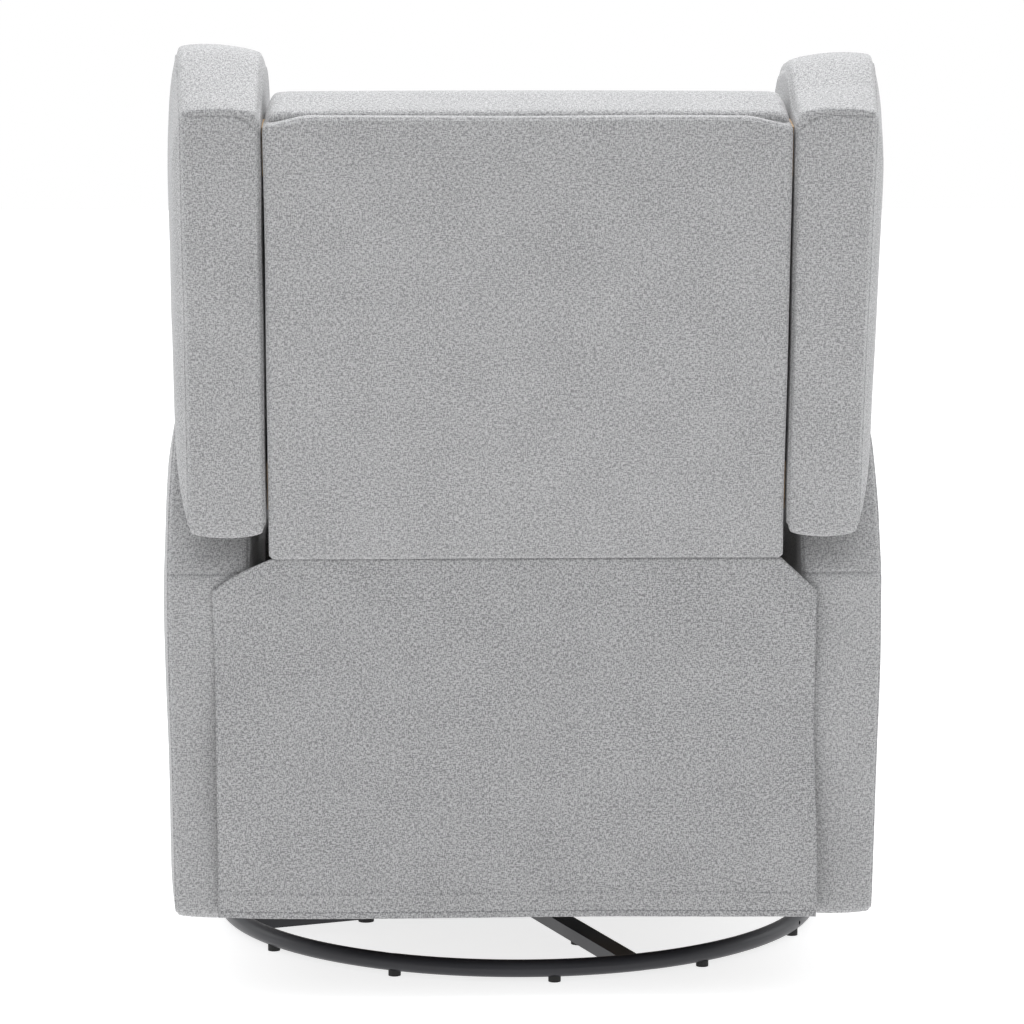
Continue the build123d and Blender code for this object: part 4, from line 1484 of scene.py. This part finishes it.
@dataclass
class RearSkirt:
    """The loose flap that hangs from the foot of the back and covers the rear opening.

    Attributes:
        finishes: the chair's materials.
        columns: cells across the flap.
        rows: cells down the flap.
        shoulder_rows: how many of them are in the shoulders.
        hem_rows: how many of them are in the hem.
        thickness: thickness of the cloth.
        shoulder_drop: height of the sloping shoulders.
        hem: height of the fold of the hem over the lower edge.
        stitch_line: height of the row of stitches.
        shoulder_sag: how hollow the left shoulder is, as a share of its overhang.
        left_draw: how far the left edge draws in at half height.
        left_hem_draw: how far it draws in at the hem.
        right_draw: how far the right edge wanders.
        wave_height: height of the slow wave across the flap.
        curl_height: how far the side edges curl.
        curl_reach: how far from an edge the curl dies away.
        puff_height: height of the soft unevenness.
        fold_height: height of the ridge over the hem's fold.
        fold_half: half of that ridge's width.
        stitch_depth: how deep the stitches pull the cloth in.
        stitch_half: half of the width that they pull in.
        hem_build: how much further out the doubled cloth of the hem lies.
        stand_off: from the rear of the flap's box to its outer face.
    """

    finishes: Finishes
    columns: int = 160
    rows: int = 150
    shoulder_rows: int = 12
    hem_rows: int = 40
    thickness: float = 0.0018
    shoulder_drop: float = 0.034
    hem: float = 0.025
    stitch_line: float = 0.0065
    shoulder_sag: float = 0.10
    left_draw: float = 0.0035
    left_hem_draw: float = 0.004
    right_draw: float = 0.003
    wave_height: float = 0.0022
    curl_height: float = 0.0050
    curl_reach: float = 0.035
    puff_height: float = 0.0012
    fold_height: float = 0.0008
    fold_half: float = 0.0022
    stitch_depth: float = 0.0007
    stitch_half: float = 0.0014
    hem_build: float = 0.0007
    stand_off: float = 0.0015

    def surface(self, share: float, fall: float) -> Triple:
        """One point of the flap's outer face.

        Args:
            share: 0 at the right edge and 1 at the left.
            fall: 0 at the top and 1 at the hem.

        Returns:
            The point in metres.
        """
        low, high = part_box("rear_skirt")
        panel_low, panel_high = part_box("outer_back_panel")
        drop = high[2] - low[2]
        z = high[2] - drop * fall
        neck = min(1.0, (high[2] - z) / self.shoulder_drop)
        sag = math.sin(math.pi * neck)
        left = panel_high[0] + (high[0] - panel_high[0]) * (neck + self.shoulder_sag * sag)
        right = panel_low[0] + (low[0] - panel_low[0]) * neck
        left -= self.left_draw * math.sin(math.pi * fall) + self.left_hem_draw * fall**3
        right += self.right_draw * math.sin(1.7 * math.pi * fall) * fall
        x = right + (left - right) * share
        inset = min(share, 1 - share) * (left - right)
        edge = math.exp(-((inset / self.curl_reach) ** 2))
        loose = min(1.0, fall * 3)
        wave = self.wave_height * math.sin(9.0 * share + 1.1) * fall
        curl = self.curl_height * edge * math.sin(8.5 * fall + 0.6 + 2.2 * share) * loose
        puff = self.puff_height * noise.noise(Vector((x * 6, z * 7, 3.3))) * loose
        above = z - low[2]
        fold = self.fold_height * math.exp(-(((above - self.hem) / self.fold_half) ** 2))
        pinch = self.stitch_depth * math.exp(-(((above - self.stitch_line) / self.stitch_half) ** 2))
        double = self.hem_build * (1 if above < self.hem else 0)
        return x, high[1] - self.stand_off + wave + curl + puff + fold - pinch + double, z

    def falls(self) -> list[float]:
        """Rows down the flap, closer together at the shoulders and over the hem."""
        low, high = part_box("rear_skirt")
        drop = high[2] - low[2]
        hem_start = 1 - (self.hem + 0.006) / drop
        shoulder_end = self.shoulder_drop / drop
        top = [shoulder_end * step / self.shoulder_rows for step in range(self.shoulder_rows)]
        body_rows = self.rows - self.shoulder_rows - self.hem_rows
        body = [shoulder_end + (hem_start - shoulder_end) * step / body_rows for step in range(body_rows)]
        foot = [hem_start + (1 - hem_start) * step / self.hem_rows for step in range(self.hem_rows + 1)]
        return top + body + foot

    def build(self) -> bpy.types.Object:
        """Makes the flap with its hem and hands it to its body.

        Returns:
            The flap's object.
        """
        falls = self.falls()
        width = self.columns + 1
        places = [self.surface(column / self.columns, fall) for fall in falls for column in range(width)]
        faces = []
        for row in range(len(falls) - 1):
            for column in range(self.columns):
                start = row * width + column
                faces.append((start, start + 1, start + 1 + width, start + width))
        obj = mesh_object("rear_skirt_flap", np.array(places), faces, self.finishes.skirt_cloth)
        solid = obj.modifiers.new("cloth_thickness", "SOLIDIFY")
        solid.thickness = self.thickness
        solid.offset = 0.0
        bake(obj)
        outward(obj)
        obj.data.polygons.foreach_set("use_smooth", [True] * len(obj.data.polygons))
        lay_cloth(obj)
        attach(obj, "skirt")
        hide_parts("rear_skirt")
        return obj

    def hem_path(self) -> list[Triple]:
        """Points along the stitch row, from one side edge to the other."""
        low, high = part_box("rear_skirt")
        fall = 1 - self.stitch_line / (high[2] - low[2])
        lift = self.thickness / 2 + 0.0002
        path = []
        for step in range(121):
            x, y, z = self.surface(0.006 + 0.988 * step / 120, fall)
            path.append((x, y + lift, z))
        return path


@dataclass
class StitchRow:
    """A row of sewn stitches that follows a path, made by one node tree.

    Attributes:
        pitch: distance from stitch to stitch.
        length: length of one stitch.
        thread: radius of the thread.
    """

    pitch: float = 0.0042
    length: float = 0.0028
    thread: float = 0.00042

    def tree(self) -> bpy.types.GeometryNodeTree:
        """The node tree: resample the path, set a thread on each point, turn it along the path.

        Returns:
            The tree, with Pitch, Length, Thread and Material as inputs.
        """
        group = bpy.data.node_groups.new("stitch_row", "GeometryNodeTree")
        face = group.interface
        face.new_socket(name="Geometry", in_out="INPUT", socket_type="NodeSocketGeometry")
        for label in ("Pitch", "Length", "Thread"):
            face.new_socket(name=label, in_out="INPUT", socket_type="NodeSocketFloat")
        face.new_socket(name="Material", in_out="INPUT", socket_type="NodeSocketMaterial")
        face.new_socket(name="Geometry", in_out="OUTPUT", socket_type="NodeSocketGeometry")
        tree = Tree(group)
        start = tree.add("NodeGroupInput").outputs
        curve = tree.add("GeometryNodeMeshToCurve", {"Mesh": start["Geometry"]}).outputs[0]
        spaced = tree.add(
            "GeometryNodeResampleCurve", {"Curve": curve, "Length": start["Pitch"]}, mode="LENGTH"
        )
        tangent = tree.add("GeometryNodeInputTangent").outputs[0]
        turn = tree.add("FunctionNodeAlignRotationToVector", {"Vector": tangent}, axis="X")
        bead = tree.add("GeometryNodeMeshUVSphere", {"Segments": 6, "Rings": 5, "Radius": 1.0}).outputs[0]
        half = tree.math("MULTIPLY", start["Length"], 0.5)
        scale = tree.add(
            "ShaderNodeCombineXYZ", {0: half, 1: start["Thread"], 2: start["Thread"]}
        ).outputs[0]
        row = tree.add(
            "GeometryNodeInstanceOnPoints",
            {"Points": spaced.outputs[0], "Instance": bead, "Rotation": turn.outputs[0], "Scale": scale},
        ).outputs[0]
        solid = tree.add("GeometryNodeRealizeInstances", {"Geometry": row}).outputs[0]
        dressed = tree.add(
            "GeometryNodeSetMaterial", {"Geometry": solid, "Material": start["Material"]}
        ).outputs[0]
        tree.add("NodeGroupOutput", {"Geometry": dressed})
        return group

    def build(self, name: str, path: Sequence[Triple], material: bpy.types.Material) -> bpy.types.Object:
        """Sews one row.

        Args:
            name: the object's name.
            path: points that the row follows.
            material: the thread.

        Returns:
            The row as a plain mesh object.
        """
        mesh = bpy.data.meshes.new(name)
        mesh.from_pydata([tuple(point) for point in path], [(i, i + 1) for i in range(len(path) - 1)], [])
        obj = bpy.data.objects.new(name, mesh)
        bpy.context.scene.collection.objects.link(obj)
        modifier = obj.modifiers.new("stitches", "NODES")
        modifier.node_group = self.tree()
        values = {"Pitch": self.pitch, "Length": self.length, "Thread": self.thread, "Material": material}
        for item in modifier.node_group.interface.items_tree:
            if item.in_out == "INPUT" and item.name in values:
                modifier[item.identifier] = values[item.name]
        bake(obj)
        obj.data.materials.clear()
        obj.data.materials.append(material)
        obj.data.polygons.foreach_set("use_smooth", [True] * len(obj.data.polygons))
        return obj


@dataclass
class BoxCushion:
    """A stuffed cushion with a seam round its top and bottom, swollen by a cloth simulation.

    Attributes:
        node: the CAD node that it replaces.
        body: the body that it rides.
        finishes: the chair's materials.
        corner: radius of its corners as seen from the side.
        swell: the furthest that the simulation may move its cloth.
        voxel: size of the cloth's mesh.
        seams: heights of its seams, as shares of its height.
    """

    node: str
    body: str
    finishes: Finishes
    corner: float
    swell: float
    voxel: float = 0.008
    seams: Sequence[float] = (0.13, 0.87)

    def seam(self, share: float) -> list[Vector]:
        """One closed seam round the cushion.

        Args:
            share: its height as a share of the cushion's height.

        Returns:
            Points along the seam.
        """
        low, high = (Vector(corner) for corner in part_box(self.node))
        z = low.z + (high.z - low.z) * share
        corners = [(low.x, low.y), (high.x, low.y), (high.x, high.y), (low.x, high.y)]
        line = rounded(corners, [self.corner] * 4, 0.012)
        path = [Vector((x, y, z)) for x, y in line]
        return path + path[:1]

    def build(self) -> bpy.types.Object:
        """Makes the cushion and hands it to its body.

        Returns:
            The cushion's object.
        """
        low, high = (Vector(corner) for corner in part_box(self.node))
        inset = self.swell * 0.35
        line = rounded(
            [
                (low.y + inset, low.z + 0.001),
                (high.y - inset, low.z + 0.001),
                (high.y - inset, high.z - inset),
                (low.y + inset, high.z - inset),
            ],
            [self.corner] * 4,
            0.008,
        )
        width = high.x - low.x - 0.002
        block = PaddedBlock(line, width, edge=0.014, crown=0.0, belly=0.0)

        def place(rows: np.ndarray) -> np.ndarray:
            """Turns (y, z, across) into the cushion's place on the chair.

            Args:
                rows: one row for each point of the block.

            Returns:
                Rows of x, y and z.
            """
            return np.column_stack([rows[:, 2] + low.x + 0.001, rows[:, 0], rows[:, 1]])

        def soft(places: np.ndarray) -> np.ndarray:
            """The top and the front swell; the base and the flanks stay where they bear.

            Args:
                places: rows of x, y and z.

            Returns:
                One share for each point, from 0 to 1.
            """
            flank = np.clip((np.minimum(places[:, 0] - low.x, high.x - places[:, 0]) - 0.003) / 0.02, 0, 1)
            above = np.clip((places[:, 2] - low.z - 0.006) / 0.03, 0, 1)
            behind = np.clip((high.y - 0.02 - places[:, 1]) / 0.03, 0, 1)
            return flank * above * behind

        obj = block.build(f"{self.node}_cover", place, self.finishes.cloth)
        inflate(obj, self.voxel, 4.0, self.swell, share=soft)
        subdivide(obj, 1)
        for share in self.seams:
            slit(obj, self.seam(share), 0.004, 0.003)
        lay_cloth(obj)
        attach(obj, self.body)
        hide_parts(self.node)
        return obj


def report(obj: bpy.types.Object) -> None:
    """Logs one finished piece.

    Args:
        obj: the piece.
    """
    LOG.info("%s: %d faces", obj.name, len(obj.data.polygons))


def main() -> None:
    """Builds the chair's looks in order, with a log line for each piece."""
    logging.basicConfig(level=logging.INFO, format="%(message)s")
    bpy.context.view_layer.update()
    Studio().build()
    finishes = Finishes()
    HardParts(finishes).dress()
    makers = [BackShell(finishes), BackCushion(finishes)]
    for side in Side:
        makers += [Wing(side, finishes), Arm(side, finishes)]
    for maker in makers:
        report(maker.build())
    skirt = RearSkirt(finishes)
    stitches = StitchRow().build("hem_stitches", skirt.hem_path(), finishes.thread)
    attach(stitches, "skirt")
    report(stitches)
    report(skirt.build())
    report(BoxCushion("seat_cushion", "seat", finishes, 0.030, 0.012).build())
    report(BoxCushion("footrest_pad", "footrest", finishes, 0.014, 0.006, voxel=0.006).build())
    for node, material in (("seat_deck", finishes.felt), ("release_pull", finishes.tape)):
        for slot in frame["nodes"][node].material_slots:
            slot.material = material


if __name__ == "__main__":
    main()
